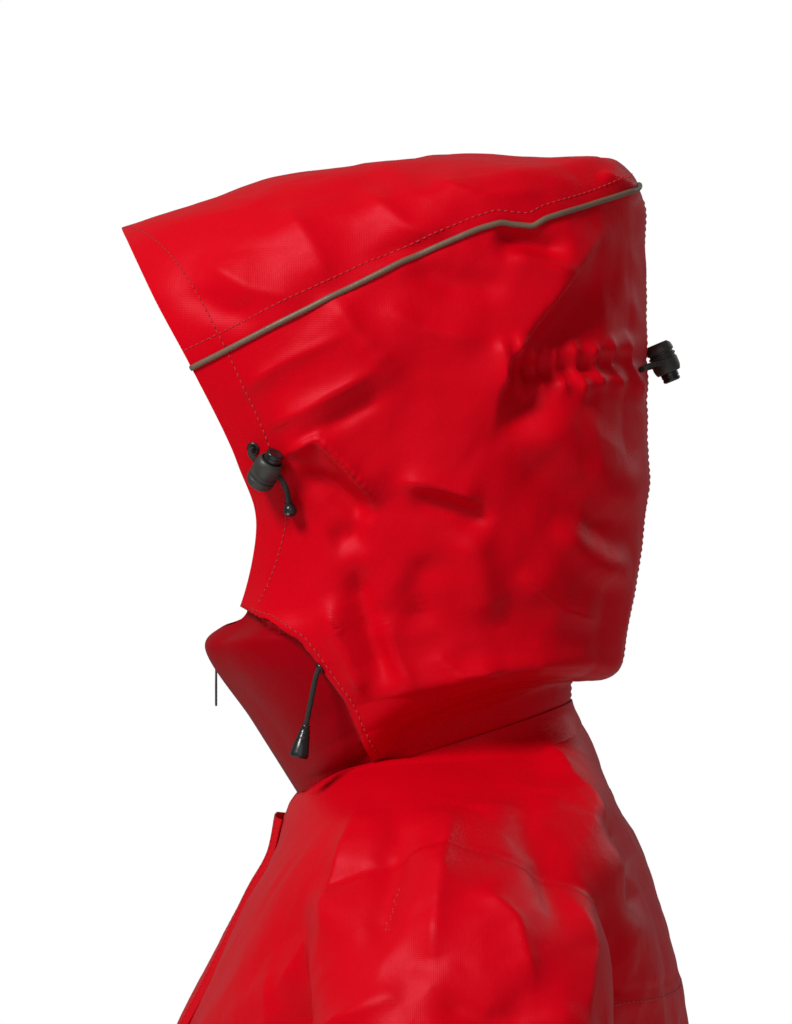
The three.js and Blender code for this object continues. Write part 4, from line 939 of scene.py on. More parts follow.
turn = np.linspace(0, 2 * math.pi, 121)[:-1]
torso = body_surface(np.linspace(0, 9, 90)[:, None], turn[None, :])
neck_ring = torso[0] * [0.97, 0.97, 1] + [0, 0, 14]
torso = np.concatenate([neck_ring[None], torso, (torso[-1] - [0, 0, 14])[None]])
arm = sleeve_surface(np.linspace(0, 7, 80)[:, None], turn[None, ::2])
arm_end = arm[-1] + 14 * sleeve_frame(7.0)[1]
arm = np.concatenate([arm, arm_end[None]])
solids = [loft(torso), loft(arm), loft(arm * [-1, 1, 1])]
skin, faces = [], []
for points, rings in solids:
    base = len(skin)
    skin += points.tolist()
    faces += [[base + k for k in f] for f in rings]
merged = mesh_object("body_form", skin, faces, red_nylon)
remesh = merged.modifiers.new("union", "REMESH")
remesh.mode = "VOXEL"
remesh.voxel_size = 0.005
form = merged.evaluated_get(bpy.context.evaluated_depsgraph_get()).to_mesh()
cut = bmesh.new()
cut.from_mesh(form)
bpy.data.objects.remove(merged)
for vert in cut.verts:
    vert.co *= 1000


def trim(place, normal, chosen):
    """Cuts away what lies beyond a plane, among the chosen faces."""
    faces = [f for f in cut.faces if chosen(f.calc_center_median())]
    geometry = {*faces, *(e for f in faces for e in f.edges), *(v for f in faces for v in f.verts)}
    bmesh.ops.bisect_plane(cut, geom=list(geometry), dist=0.001, plane_co=place, plane_no=normal,
                           clear_outer=True)


cuff_along = sleeve_frame(7.0)[1]
cuff_centre = sleeve_frame(7.0)[0]
in_neck = lambda c: (abs(c.x) / 68) ** SQUARENESS + (abs(c.y + 3) / 75) ** SQUARENESS < 1.05
trim((0, -76, -27), (0, -NECK_SLOPE, 1), lambda c: in_neck(c) and c.z > -60)
trim((0, 0, -660), (0, 0, -1), lambda c: abs(c.x) < 205 and c.z < -600)
for side in (1, -1):
    flip = np.array([side, 1, 1])
    trim(cuff_centre * flip, cuff_along * flip, lambda c: side * c.x > 205 and c.z < -560)
front = [f for f in cut.faces if abs(f.calc_center_median().x) < 30 and f.calc_center_median().y < -40]
geometry = {*front, *(e for f in front for e in f.edges), *(v for f in front for v in f.verts)}
bmesh.ops.bisect_plane(cut, geom=list(geometry), dist=0.001, plane_co=(5, 0, 0), plane_no=(1, 0, 0))
front = [f for f in cut.faces if abs(f.calc_center_median().x) < 30 and f.calc_center_median().y < -40]
geometry = {*front, *(e for f in front for e in f.edges), *(v for f in front for v in f.verts)}
bmesh.ops.bisect_plane(cut, geom=list(geometry), dist=0.001, plane_co=(-5, 0, 0), plane_no=(-1, 0, 0))
gap = [f for f in cut.faces if abs(f.calc_center_median().x) < 5 and f.calc_center_median().y < -40]
bmesh.ops.delete(cut, geom=gap, context="FACES")
fine = [e for e in cut.edges if min(v.co.z for v in e.verts) > -150]
bmesh.ops.subdivide_edges(cut, edges=fine, cuts=1, use_grid_fill=True)
bmesh.ops.triangulate(cut, faces=cut.faces[:])
loose = [v for v in cut.verts if not v.link_faces]
bmesh.ops.delete(cut, geom=loose, context="VERTS")
cut.verts.index_update()
body_points = np.array([v.co for v in cut.verts])
body_faces = np.array([[v.index for v in f.verts] for f in cut.faces])
body_edges = np.array([[v.index for v in e.verts] for e in cut.edges])
rim_points = np.array([v.is_boundary for v in cut.verts])
rim_edges = np.array([e.is_boundary for e in cut.edges])
cut.free()


def relaxed(values, edges, rounds, held):
    """Averages values with their neighbours, a few rounds, apart from those held."""
    values = values.copy()
    degree = np.bincount(edges.ravel(), minlength=len(values))[:, None]
    for _ in range(rounds):
        total = np.zeros_like(values)
        np.add.at(total, edges[:, 0], values[edges[:, 1]])
        np.add.at(total, edges[:, 1], values[edges[:, 0]])
        values = np.where(held[:, None], values, 0.4 * values + 0.6 * total / np.maximum(degree, 1))
    return values


neck_rim = rim_points & (body_points[:, 2] > -60)
neck_rim &= (np.abs(body_points[:, 0]) > 7) | (body_points[:, 1] > 0)
body_points = relaxed(body_points, body_edges[rim_edges], 40, ~neck_rim)
body_points = relaxed(body_points, body_edges, 6, rim_points)

sample_t = np.linspace(0, 9, 100)
sample_angle = np.linspace(0, 2 * math.pi, 181)[:-1]
arm_t = np.linspace(0, 7, 90)
arm_angle = np.linspace(0, 2 * math.pi, 73)[:-1]
torso_samples = body_surface(sample_t[:, None], sample_angle[None, :]).reshape(-1, 3)
arm_samples = sleeve_surface(arm_t[:, None], arm_angle[None, :]).reshape(-1, 3)
tree = KDTree(len(torso_samples) + 2 * len(arm_samples))
for k, place in enumerate(np.concatenate([torso_samples, arm_samples, arm_samples * [-1, 1, 1]])):
    tree.insert(place, k)
tree.balance()
owner = np.array([tree.find(point)[1] for point in body_points])
is_arm = owner >= len(torso_samples)
arm_at = np.where(is_arm, (owner - len(torso_samples)) % len(arm_samples), 0)
torso_at = np.where(is_arm, 0, owner)
vertex_t = np.where(is_arm, arm_t[arm_at // len(arm_angle)], sample_t[torso_at // len(sample_angle)])
bx, by, bz = body_points.T

# Folds: each is a ridge or a hollow along a short line, in the side view of its own half.
shoulder_folds = [
    ([(-38, -16), (-48, -50), (-60, -92)], 5, 7, 9, True),
    ([(-20, -20), (-26, -55), (-36, -96)], -4, 8, 8, False),
    ([(6, -24), (0, -52), (-8, -100)], 4.5, 9, 13, True),
    ([(30, -18), (50, -46), (60, -90)], -4, 9, 9, False),
    ([(44, 16), (72, -26), (98, -78)], 6, 8, 12, True),
    ([(76, -30), (94, -58), (104, -92)], -6, 6, 6, False),
    ([(14, -60), (34, -78), (44, -110)], 4, 7, 10, True),
    ([(-52, -60), (-66, -92), (-84, -124)], 4, 8, 8, True),
    ([(60, -60), (70, -92), (66, -130)], 4, 9, 9, True),
    ([(-10, -108), (20, -122), (50, -116)], -3.5, 8, 9, False),
]
rng = np.random.default_rng(7)


def fold_near(points, line, height, before, after, sharp):
    """A fold along a line in space."""
    line = np.asarray(line, float)
    low, high = line.min(axis=0) - 45, line.max(axis=0) + 45
    chosen = np.flatnonzero(np.all((points > low) & (points < high), axis=1))
    total = np.zeros(len(points))
    if not len(chosen):
        return total
    near = points[chosen]
    lengths = np.r_[0, np.cumsum(np.linalg.norm(np.diff(line, axis=0), axis=1))]
    best = np.full(len(near), 1e9)
    along = np.zeros(len(near))
    hand = np.ones(len(near))
    for k in range(len(line) - 1):
        start, step = line[k], line[k + 1] - line[k]
        share = np.clip(((near - start) @ step) / (step @ step), 0, 1)
        away = near - start - share[:, None] * step
        far = np.linalg.norm(away, axis=1)
        closer = far < best
        best[closer] = far[closer]
        along[closer] = (lengths[k] + share * np.linalg.norm(step))[closer]
        hand[closer] = np.sign(away[:, 2])[closer]
    width = np.where(hand > 0, before, after)
    run = along / lengths[-1]
    fade = np.clip(np.minimum(run, 1 - run) / 0.35, 0, 1)
    fade = fade * fade * (3 - 2 * fade)
    shape = np.exp(-best / width) if sharp else np.exp(-((best / width) ** 2))
    total[chosen] = height * fade * shape
    return total


lift = np.zeros(len(body_points))
for side in (1, -1):
    half = side * bx > 30
    places = np.stack([by + (0 if side > 0 else 7), bz], -1)
    for line, rise, before, after, sharp in shoulder_folds:
        lift += np.where(half & (bz > -150), ridge(places, line, rise, before, after, sharp), 0)
for _ in range(46):
    t0 = rng.uniform(3.2, 8.2)
    a0 = rng.uniform(0.35, 2 * math.pi - 0.35)
    slant, length = rng.normal(0, 0.28), rng.uniform(0.5, 1.6)
    line = body_surface(np.clip(t0 + length * np.array([0, 0.5, 1]), 0, 9),
                        a0 + slant * np.array([0, 0.6, 1]))
    height = rng.choice([1, -1]) * rng.uniform(2.5, 6)
    lift += fold_near(body_points, line, height, rng.uniform(8, 20), rng.uniform(8, 20), rng.random() < 0.6)
for side in (1, -1):
    for _ in range(34):
        t0 = rng.choice([rng.uniform(1.2, 3), rng.uniform(3.6, 5.2), rng.uniform(5, 6.1)])
        a0 = rng.uniform(0, 2 * math.pi)
        slant, length = rng.uniform(0.5, 1.3) * rng.choice([1, -1]), rng.uniform(0.1, 0.45)
        line = sleeve_surface(np.clip(t0 + length * np.array([0, 0.5, 1]), 0.8, 6.2),
                              a0 + slant * np.array([0, 0.5, 1]))
        height = rng.choice([1, -1]) * rng.uniform(2, 5)
        lift += fold_near(body_points, line * [side, 1, 1], height, rng.uniform(5, 11), rng.uniform(6, 13),
                          rng.random() < 0.7)
lift += 2.8 * crumple(body_points, (58, 58, 66), 41) + 1.0 * crumple(body_points, (27, 27, 30), 47)
lift += 0.3 * crumple(body_points, (14, 14, 15), 53)
neck_gap = bz - (-30 + NECK_SLOPE * (by + 76))
near_zip = np.clip((np.abs(bx) - 26) / 30, 0.1, 1) * (by < 0) + (by >= 0)
calm = np.clip(-neck_gap / 26, 0, 1) * np.clip((bz + 660) / 60, 0.2, 1) * near_zip
calm = np.where(is_arm, np.clip((7 - vertex_t) / 0.9, 0.12, 1), calm)
body = Cloth(body_points, body_faces, body_points)

pocket_box = {name: np.array(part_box(f"pocket_zip_{name}")) * 1000 for name in ("left", "right")}
for low, high in pocket_box.values():
    outside = np.maximum(np.maximum(low - 4 - body_points, body_points - high - 4), 0)
    calm *= np.clip(np.linalg.norm(outside, axis=1) / 30, 0.12, 1)
lift = np.clip(1.3 * lift, -10, 10) * calm
worn_body = Cloth(body_points + body.normals * lift[:, None], body_faces, body_points)


def smooth_line(points, rounds=6):
    points = np.array(points)
    for _ in range(rounds):
        points[1:-1] = 0.5 * points[1:-1] + 0.25 * (points[:-2] + points[2:])
    return points


def on_body(points, distance=0.05):
    return worn_body.near(smooth_line(points), distance)


# Seams sink a little, and carry a row of topstitching beside them.
side_t = np.linspace(3.4, 9, 120)
side_seam = body_surface(side_t, np.full(120, math.pi / 2 - 0.03))
side_seam[:, 1] = SIDE_SEAM_Y
seams = [side_seam, side_seam * [-1, 1, 1]]
yoke_angle = np.linspace(0.62 * math.pi, 1.38 * math.pi, 90)
yoke_seam = body_surface(4.2, yoke_angle)
seams += [yoke_seam]
hem_ring = body_surface(8.79, np.linspace(0.1, 2 * math.pi - 0.1, 300))
arm_seams = []
for side in (1, -1):
    edge = np.flatnonzero(is_arm[body_edges[:, 0]] != is_arm[body_edges[:, 1]])
    middle = body_points[body_edges[edge]].mean(axis=1)
    middle = middle[side * middle[:, 0] > 0]
    centre = middle.mean(axis=0)
    order = np.arctan2(middle[:, 2] - centre[2], middle[:, 1] - centre[1])
    grid = np.linspace(-math.pi, math.pi, 121)[:-1]
    apart = np.abs((order[None, :] - grid[:, None] + math.pi) % (2 * math.pi) - math.pi)
    loop = np.array([middle[np.argsort(row)[:14]].mean(axis=0) for row in apart])
    for _ in range(8):
        loop = 0.5 * loop + 0.25 * (np.roll(loop, 1, axis=0) + np.roll(loop, -1, axis=0))
    arm_seams.append(np.concatenate([loop, loop[:1]]))
seam_places = np.concatenate([*seams, *arm_seams])
seam_tree = KDTree(len(seam_places))
for k, place in enumerate(seam_places):
    seam_tree.insert(place, k)
seam_tree.balance()
seam_far = np.array([seam_tree.find(point)[2] for point in body_points])
sink = -1.1 * np.exp(-((seam_far / 3.5) ** 2))
worn_body = Cloth(worn_body.points + worn_body.normals * sink[:, None], body_faces, body_points)

face_centres = body_points[body_faces].mean(axis=1)
face_arm = is_arm[body_faces].sum(axis=1) >= 2
face_t = vertex_t[body_faces].mean(axis=1)
in_cuff = face_arm & (face_t > CUFF_FROM)
torso_faces = ~face_arm
behind = face_centres[:, 1] >= SIDE_SEAM_Y
arm_middle = sleeve_frame(np.linspace(0, 7, 200))[0]
outer_side = np.abs(face_centres[:, 0]) > np.interp(-face_centres[:, 2], -arm_middle[:, 2], arm_middle[:, 0])
for name, side in (("left", 1), ("right", -1)):
    half = side * face_centres[:, 0] > 0
    panels = {
        f"front_{name}": torso_faces & half & ~behind,
        f"sleeve_{name}_outer": face_arm & half & outer_side & ~in_cuff,
        f"sleeve_{name}_inner": face_arm & half & ~outer_side & ~in_cuff,
        f"cuff_{name}": in_cuff & half,
    }
    for node_name, chosen in panels.items():
        panel = worn_body.piece(f"{node_name}_cloth", chosen, 0, -0.9, red_nylon)
        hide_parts(node_name)
back = worn_body.piece("back_cloth", torso_faces & behind, 0, -0.9, red_nylon)
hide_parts("back_panel")

# The neck seam is bound: a strip of shell cloth lies over the raw edges, round the foot of the collar.
foot_line = worn_hood.points[index[0]][4:-4]
around = np.gradient(foot_line, axis=0)
outward = np.cross(around, [0, 0, 1.0])
outward /= np.linalg.norm(outward, axis=1, keepdims=True)
outward *= np.sign(np.sum(outward * (foot_line - [0, -3, 0]), axis=1, keepdims=True))
above = index[3][4:-4]
strip = [worn_hood.points[above] + 0.5 * worn_hood.normals[above], foot_line + 1.4 * outward]
for away, stand in ((4, 0.5), (7, 0.5), (10, 0.5), (13, 0.5), (15, -0.6)):
    strip.append(worn_body.near(foot_line + away * outward - [0, 0, 0.35 * away], stand)[0])
strip = np.array(strip)
for _ in range(5):
    strip[:, 1:-1] = 0.5 * strip[:, 1:-1] + 0.25 * (strip[:, :-2] + strip[:, 2:])
    strip[1:-1] = 0.6 * strip[1:-1] + 0.2 * (strip[:-2] + strip[2:])
cells = np.arange(strip.shape[0] * strip.shape[1]).reshape(strip.shape[:2])
strip_faces = np.stack([cells[:-1, :-1], cells[:-1, 1:], cells[1:, 1:], cells[1:, :-1]], -1).reshape(-1, 4)
strip_cloth = Cloth(strip.reshape(-1, 3), strip_faces, np.tile(outward + [0, 0, 1], (len(strip), 1)))
binding = strip_cloth.piece("neck_binding", np.ones(len(strip_faces), bool), 0.6, -0.3, red_nylon)

shift_y = lambda line, by: line + np.array([0, by, 0])
shift_z = lambda line, by: line + np.array([0, 0, by])
mouth = sleeve_surface(CUFF_FROM + 0.05, np.linspace(0, 2 * math.pi, 90))
arm_mouth = [mouth, mouth * [-1, 1, 1]]
stitches("body_topstitching", [
    *[on_body(shift_y(line, 5)) for line in seams[:2]],
    on_body(shift_z(yoke_seam, -5)), on_body(hem_ring), on_body(shift_z(hem_ring, 4)),
    *[on_body(line) for line in arm_mouth],
], thread)

# ------------------------------------------------------------------ hem tunnel
# The hem is turned up 26 mm inside and stitched down, with a drawcord lying in the fold.

ring_angle = np.linspace(0.16, 2 * math.pi - 0.16, 240)
turn_up = (worn_body.points[:, 2] + 660)
bowed = np.clip(np.minimum(turn_up - 3, 26 - turn_up) / 5, 0, 1)
hem_faces = torso_faces & (face_centres[:, 2] < -634)
hem_faces &= np.abs(face_centres[:, 0]) + np.maximum(face_centres[:, 1], 0) > 8
hem = worn_body.piece("hem_lining", hem_faces, -1.1 - 3.6 * bowed, -1.9 - 3.6 * bowed, lining)
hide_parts("hem_tunnel")
cord_line, _ = on_body(body_surface(8.9, ring_angle), -2.7)
hem_pull = tube("hem_cord", cord_line[::2], 1.3, cord_material)
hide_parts("hem_drawcord")

# ------------------------------------------------------------------ front zip and storm flap
# A moulded-tooth zip on woven tapes runs from the top of the collar to the hem. Its slider stands at the top,
# and below the neck a storm flap covers it.


def zip_line(count):
    """Places down the centre front, and the outward normals there."""
    shares = np.linspace(0.95, 0, 12)
    collar = np.array([(0, -76 - 51 * s, -30 + 81 * s) for s in shares])
    chest = between_stations(body_stations, np.linspace(0.5, 8.97, 60))
    chest = np.stack([0 * chest[:, 0], chest[:, 1], chest[:, 3]], -1)
    line = np.concatenate([collar, chest])
    run = np.r_[0, np.cumsum(np.linalg.norm(np.diff(line, axis=0), axis=1))]
    at = np.linspace(0, run[-1], count)
    line = np.stack([np.interp(at, run, line[:, c]) for c in range(3)], -1)
    along = np.gradient(line, axis=0)
    along /= np.linalg.norm(along, axis=1, keepdims=True)
    return line, along, np.stack([0 * at, along[:, 2], -along[:, 1]], -1)


def plate(line, along, normals, offsets, thickness):
    """A closed strip: offsets are (x, height) across it."""
    count, wide = len(line), len(offsets)
    top = np.array([[p + np.array([x, 0, 0]) + h * n for x, h in offsets] for p, n in zip(line, normals)])
    low = top - thickness * normals[:, None]
    skin = np.concatenate([top.reshape(-1, 3), low.reshape(-1, 3)])
    size, faces = count * wide, []
    for i in range(count - 1):
        for j in range(wide - 1):
            a, b = i * wide + j, i * wide + wide + j
            faces += [(a, a + 1, b + 1, b), (a + size, b + size, b + 1 + size, a + 1 + size)]
        for j, flip in ((0, 1), (wide - 1, -1)):
            a, b = i * wide + j, i * wide + wide + j
            faces.append((a, b, b + size, a + size)[::flip])
    for i, flip in ((0, -1), (count - 1, 1)):
        for j in range(wide - 1):
            a = i * wide + j
            faces.append((a, a + 1, a + 1 + size, a + size)[::flip])
    return skin, faces


zip_black = finish("black_acetal", lambda tree: {
    "Roughness": node(tree, "ShaderNodeTexNoise", None, Vector=node(tree, "ShaderNodeTexCoord", out="Object"),
                      Scale=300.0) * 0.2 + 0.3}, Base_Color=(0.012, 0.012, 0.013, 1))
line, along, normals = zip_line(300)
TAPE_TOP = -4.5
for name, side in (("left", 1), ("right", -1)):
    tape_skin, tape_faces = plate(line, along, normals, [(side * 1.2, TAPE_TOP), (side * 9, TAPE_TOP - 0.3),
                                                        (side * 17, TAPE_TOP - 0.6)], 0.8)
    tape = mesh_object(f"zip_tape_weave_{name}", tape_skin, tape_faces, webbing)
    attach(tape, "jacket")
    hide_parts(f"zip_tape_{name}")
    skin, faces = [], []
    for k in range(0, 300):
        at, step, normal = line[k], along[k], normals[k]
        shift = 0.6 if side > 0 else -0.6
        middle = at + shift * step + (TAPE_TOP + 1.2) * normal
        base = len(skin)
        for x, wide in ((0.4, 0.95), (1.9, 0.55), (3.5, 0.8)):
            for dy, dn in ((-1, -1), (1, -1), (1, 1), (-1, 1)):
                corner = np.array([side * x, 0, 0]) + dy * wide * 0.85 * step + dn * 0.85 * normal
                skin.append(middle + corner)
        for j in range(2):
            a, b = base + 4 * j, base + 4 * j + 4
            faces += [(a + i, a + (i + 1) % 4, b + (i + 1) % 4, b + i) for i in range(4)]
        faces += [(base + 3, base + 2, base + 1, base), tuple(base + 8 + i for i in range(4))]
    teeth = mesh_object(f"zip_teeth_moulded_{name}", skin, faces, zip_black, smooth=False)
    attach(teeth, "jacket")
    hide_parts(f"zip_teeth_{name}")

flap_from = int(np.argmax(line[:, 2] < -40))
flap_line, flap_normals = line[flap_from:-3], normals[flap_from:-3]
half_at = np.interp(-flap_line[:, 2], -body_stations[:, 3], body_stations[:, 0])
deep_at = np.interp(-flap_line[:, 2], -body_stations[:, 3], (body_stations[:, 2] - body_stations[:, 1]) / 2)
across = np.linspace(-27, 27, 19)
recede = deep_at[:, None] * (1 - (1 - (np.abs(across) / half_at[:, None]) ** SQUARENESS) ** (1 / SQUARENESS))
rise = 1.6 + 3.4 * np.clip((27 - np.abs(across)) / 7, 0, 1)
grid = flap_line[:, None] + across[None, :, None] * [1, 0, 0] + recede[..., None] * [0, 1, 0]
wave = 0.9 * swell(grid.reshape(-1, 3), 34, 91).reshape(grid.shape[:2])
wave += 0.8 * crumple(grid.reshape(-1, 3), (30, 30, 34), 93).reshape(grid.shape[:2])
grid = grid + flap_normals[:, None] * (rise[None, :] + wave)[..., None]
cells = np.arange(grid.shape[0] * grid.shape[1]).reshape(grid.shape[:2])
flap_faces = np.stack([cells[:-1, :-1], cells[:-1, 1:], cells[1:, 1:], cells[1:, :-1]], -1).reshape(-1, 4)
flap_cloth = Cloth(grid.reshape(-1, 3), flap_faces, np.repeat(flap_normals, grid.shape[1], axis=0))
flap = flap_cloth.piece("storm_flap_cloth", np.ones(len(flap_faces), bool), 0, -1.1, red_nylon)
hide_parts("storm_flap")
flap_normal_grid = flap_cloth.normals.reshape(grid.shape)
stitches("flap_topstitching", [(grid[:, 2] + 0.05 * flap_normal_grid[:, 2], flap_normal_grid[:, 2]),
                               (grid[:, 16] + 0.05 * flap_normal_grid[:, 16], flap_normal_grid[:, 16])],
         thread)

# ------------------------------------------------------------------ zip sliders and pullers
# Each slider is a cast body with two lugs and a pin. The front one carries a coated metal puller. The hand
# pockets carry moulded pullers with grip ribs. Every puller has a hole at its tip.


dark_metal = finish("coated_slider_metal", plastic_finish((0.05, 0.05, 0.055), (0.12, 0.12, 0.125), 0.3),
                    Metallic=0.8)


def block(size, centre, bevel):
    """A box with rounded edges, as points and faces."""
    made = bmesh.new()
    bmesh.ops.create_cube(made, size=1)
    for vert in made.verts:
        vert.co = [c * s + m for c, s, m in zip(vert.co, size, centre)]
    bmesh.ops.bevel(made, geom=made.edges[:], offset=bevel, segments=2, affect="EDGES", profile=0.6)
    made.verts.index_update()
    shell = [vert.co[:] for vert in made.verts], [[vert.index for vert in face.verts] for face in made.faces]
    made.free()
    return shell


def rounded_plate(outline, low, high, bevel, hole=None):
    """A flat piece of one outline, its rims rounded; a hole is a ring of as many points as the outline."""
    outline = np.asarray(outline, float)
    count = len(outline)

    def inset(ring, by):
        along = np.roll(ring, -1, axis=0) - np.roll(ring, 1, axis=0)
        inward = np.stack([-along[:, 1], along[:, 0]], -1) / np.linalg.norm(along, axis=1, keepdims=True)
        return ring + by * inward

    edge, corner = inset(outline, bevel), inset(outline, 0.3 * bevel)
    rings = [(edge, low), (corner, low + 0.3 * bevel), (outline, low + bevel), (outline, high - bevel),
             (corner, high - 0.3 * bevel), (edge, high)]
    if hole is not None:
        rings += [(hole, high), (hole, low)]
    points = [(x, y, z) for ring, z in rings for x, y in ring]
    faces = []
    last = len(rings) if hole is not None else len(rings) - 1
    for i in range(last):
        a, b = i * count, (i + 1) % len(rings) * count
        faces += [(a + j, a + (j + 1) % count, b + (j + 1) % count, b + j) for j in range(count)]
    if hole is None:
        faces += [tuple(range(count))[::-1], tuple((len(rings) - 1) * count + j for j in range(count))]
    return points, faces


def hoop(inner, outer, half, sides=24):
    """A short ring about the X axis."""
    rim = 0.25 * (outer - inner)
    profile = [(inner, -half + rim), (inner + rim, -half), (outer - rim, -half), (outer, -half + rim),
               (outer, half - rim), (outer - rim, half), (inner + rim, half), (inner, half - rim)]
    turn = 2 * math.pi * np.arange(sides) / sides
    points = [(x, r * math.cos(a), r * math.sin(a)) for a in turn for r, x in profile]
    faces = [(i * 8 + k, (i + 1) % sides * 8 + k, (i + 1) % sides * 8 + (k + 1) % 8, i * 8 + (k + 1) % 8)
             for i in range(sides) for k in range(len(profile))]
    return points, faces


joints = {joint["name"]: joint for joint in frame["joints"]}


def puller_shells(length, ribs):
    run = np.linspace(0.9, length - 2.6, 14)
    edge = np.interp(run, [0.9, 0.4 * length, length - 2.6], [1.2, 2.6, 2.6])
    tip = np.linspace(0, math.pi, 15)[1:-1]
    right = np.stack([edge, run], -1)
    end = np.stack([2.6 * np.cos(tip), length - 2.6 + 2.6 * np.sin(tip)], -1)
    outline = np.concatenate([right, end, (right * [-1, 1])[::-1]])
    from_tip = outline - [0, length - 2.8]
    turn = np.arctan2(from_tip[:, 1], from_tip[:, 0])
    turn[0:14] = np.linspace(-math.pi / 2 + 0.05, 0, 14)
    turn[-14:] = np.linspace(math.pi, 1.5 * math.pi - 0.05, 14)
    hole = np.stack([1.0 * np.cos(turn), length - 2.8 + 1.0 * np.sin(turn)], -1)
    grips = [block((3.4, 0.8, 1.5), (0, 0.45 * length + 2.0 * k, 0), 0.2) for k in range(ribs)]
    return [rounded_plate(outline, -0.55, 0.55, 0.25, hole), hoop(0.8, 1.5, 1.2), *grips]


def slider_shells(back_plate):
    run = np.linspace(-5.5, 5.5, 15)
    edge = np.interp(run, [-5.5, -4.8, -1.5, 3.5, 5.5], [2.6, 3.7, 4.1, 3.5, 2.7])
    right = np.stack([edge, run], -1)
    outline = np.concatenate([right, (right * [-1, 1])[::-1]])
    shells = [rounded_plate(outline, -2.95, -1.7, 0.35), block((1.5, 8.4, 0.7), (0, 0, -1.5), 0.2)]
    shells += [block((0.9, 3, 2.3), (x, 0, -0.6), 0.25) for x in (-2, 2)]
    shells += [hoop(0.02, 0.6, 2.2)]
    if back_plate:
        shells += [rounded_plate(outline, -8.4, -7.3, 0.35), block((1, 2.4, 5.4), (0, -3.9, -5), 0.2)]
    else:
        shells += [block((1.2, 9, 1.1), (x, 0, -3.2), 0.2) for x in (-3.1, 3.1)]
    return shells


pin = 1000 * np.array(joints["front_puller_swing"]["pos_m"])
down = np.array(joints["front_zip_slide"]["axis"], float)
square = (pin, (1, 0, 0), down, np.cross([-1, 0, 0], down))
slider = assembled("front_slider_cast", slider_shells(True), square, dark_metal, "front_slider")
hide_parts("front_zip_slider")
plumb = (pin, (1, 0, 0), (0, 0, -1), (0, 1, 0))
hung = assembled("front_puller_cast", puller_shells(22, 0), plumb, dark_metal, "front_puller")
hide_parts("front_zip_puller")

# ------------------------------------------------------------------ hand pockets
# A coil zip on a woven tape is sewn to each front. The knit pocket bag is stitched in behind the shell, under
# the zip, and follows its folds.
pin = 1000 * np.array(joints["pocket_puller_swing_left"]["pos_m"])
across = np.array(joints["pocket_puller_swing_left"]["axis"], float)
down = np.array(joints["pocket_zip_slide_left"]["axis"], float)
out = np.cross(across, down)
start = pin - 9 * down - 5.4 * out
tape_corners = ((6.5, -4, -math.pi / 2), (6.5, 169, 0), (-6.5, 169, math.pi / 2), (-6.5, -4, math.pi))
tape_outline = [(x + 2 * math.cos(a), y + 2 * math.sin(a))
                for x, y, first in tape_corners for a in first + np.linspace(0, math.pi / 2, 5)]
coils = [block((4, 1.25, 1.0), (0, y, 1.3), 0.3) for y in np.arange(0.4, 165.5, 1.7)]
rows_sewn = [block((0.5, 2.4, 0.35), (x, y, 1.0), 0.1) for x in (-7.2, 7.2) for y in np.arange(-3, 169, 3.6)]
bag_t, bag_angle = np.meshgrid(np.linspace(6.2, 8.5, 34), np.linspace(0.3, 0.95, 26), indexing="ij")
cells = np.arange(bag_t.size).reshape(bag_t.shape)
bag_faces = np.stack([cells[:-1, :-1], cells[:-1, 1:], cells[1:, 1:], cells[1:, :-1]], -1).reshape(-1, 4)
for name, side in (("left", 1), ("right", -1)):
    flat = (start, across, down, out)
    woven = [rounded_plate(tape_outline, 0, 1, 0.3), *rows_sewn]
    tape = assembled(f"pocket_tape_{name}", woven, flat, webbing, "jacket", side)
    coil = assembled(f"pocket_coil_{name}", coils, flat, zip_black, "jacket", side)
    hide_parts(f"pocket_zip_{name}")
    square = (pin, across, down, out)
    slider = assembled(f"pocket_slider_cast_{name}", slider_shells(False), square, dark_metal,
                       f"pocket_slider_{name}_body", side)
    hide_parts(f"pocket_slider_{name}")
    hung = assembled(f"pocket_puller_moulded_{name}", puller_shells(24, 6), square, black_plastic,
                     f"pocket_puller_{name}_body", side)
    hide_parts(f"pocket_puller_{name}")
    laid, laid_out = worn_body.near((body_surface(bag_t, bag_angle) * [side, 1, 1]).reshape(-1, 3))
    laid = laid.reshape(*bag_t.shape, 3)
    for _ in range(3):
        laid[1:-1, 1:-1] = (laid[:-2, 1:-1] + laid[2:, 1:-1] + laid[1:-1, :-2] + laid[1:-1, 2:]) / 4
    bag_cloth = Cloth(laid.reshape(-1, 3), bag_faces, laid_out)
    bag = bag_cloth.piece(f"pocket_bag_knit_{name}", np.ones(len(bag_faces), bool), -4.2, -5.3, lining)
    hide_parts(f"pocket_bag_{name}")

# ------------------------------------------------------------------ cuff tabs
# A moulded tab with a rounded, ribbed end closes each cuff. It lands on a pad of loop tape that is sewn round
# the wrist, and turns open at the back.


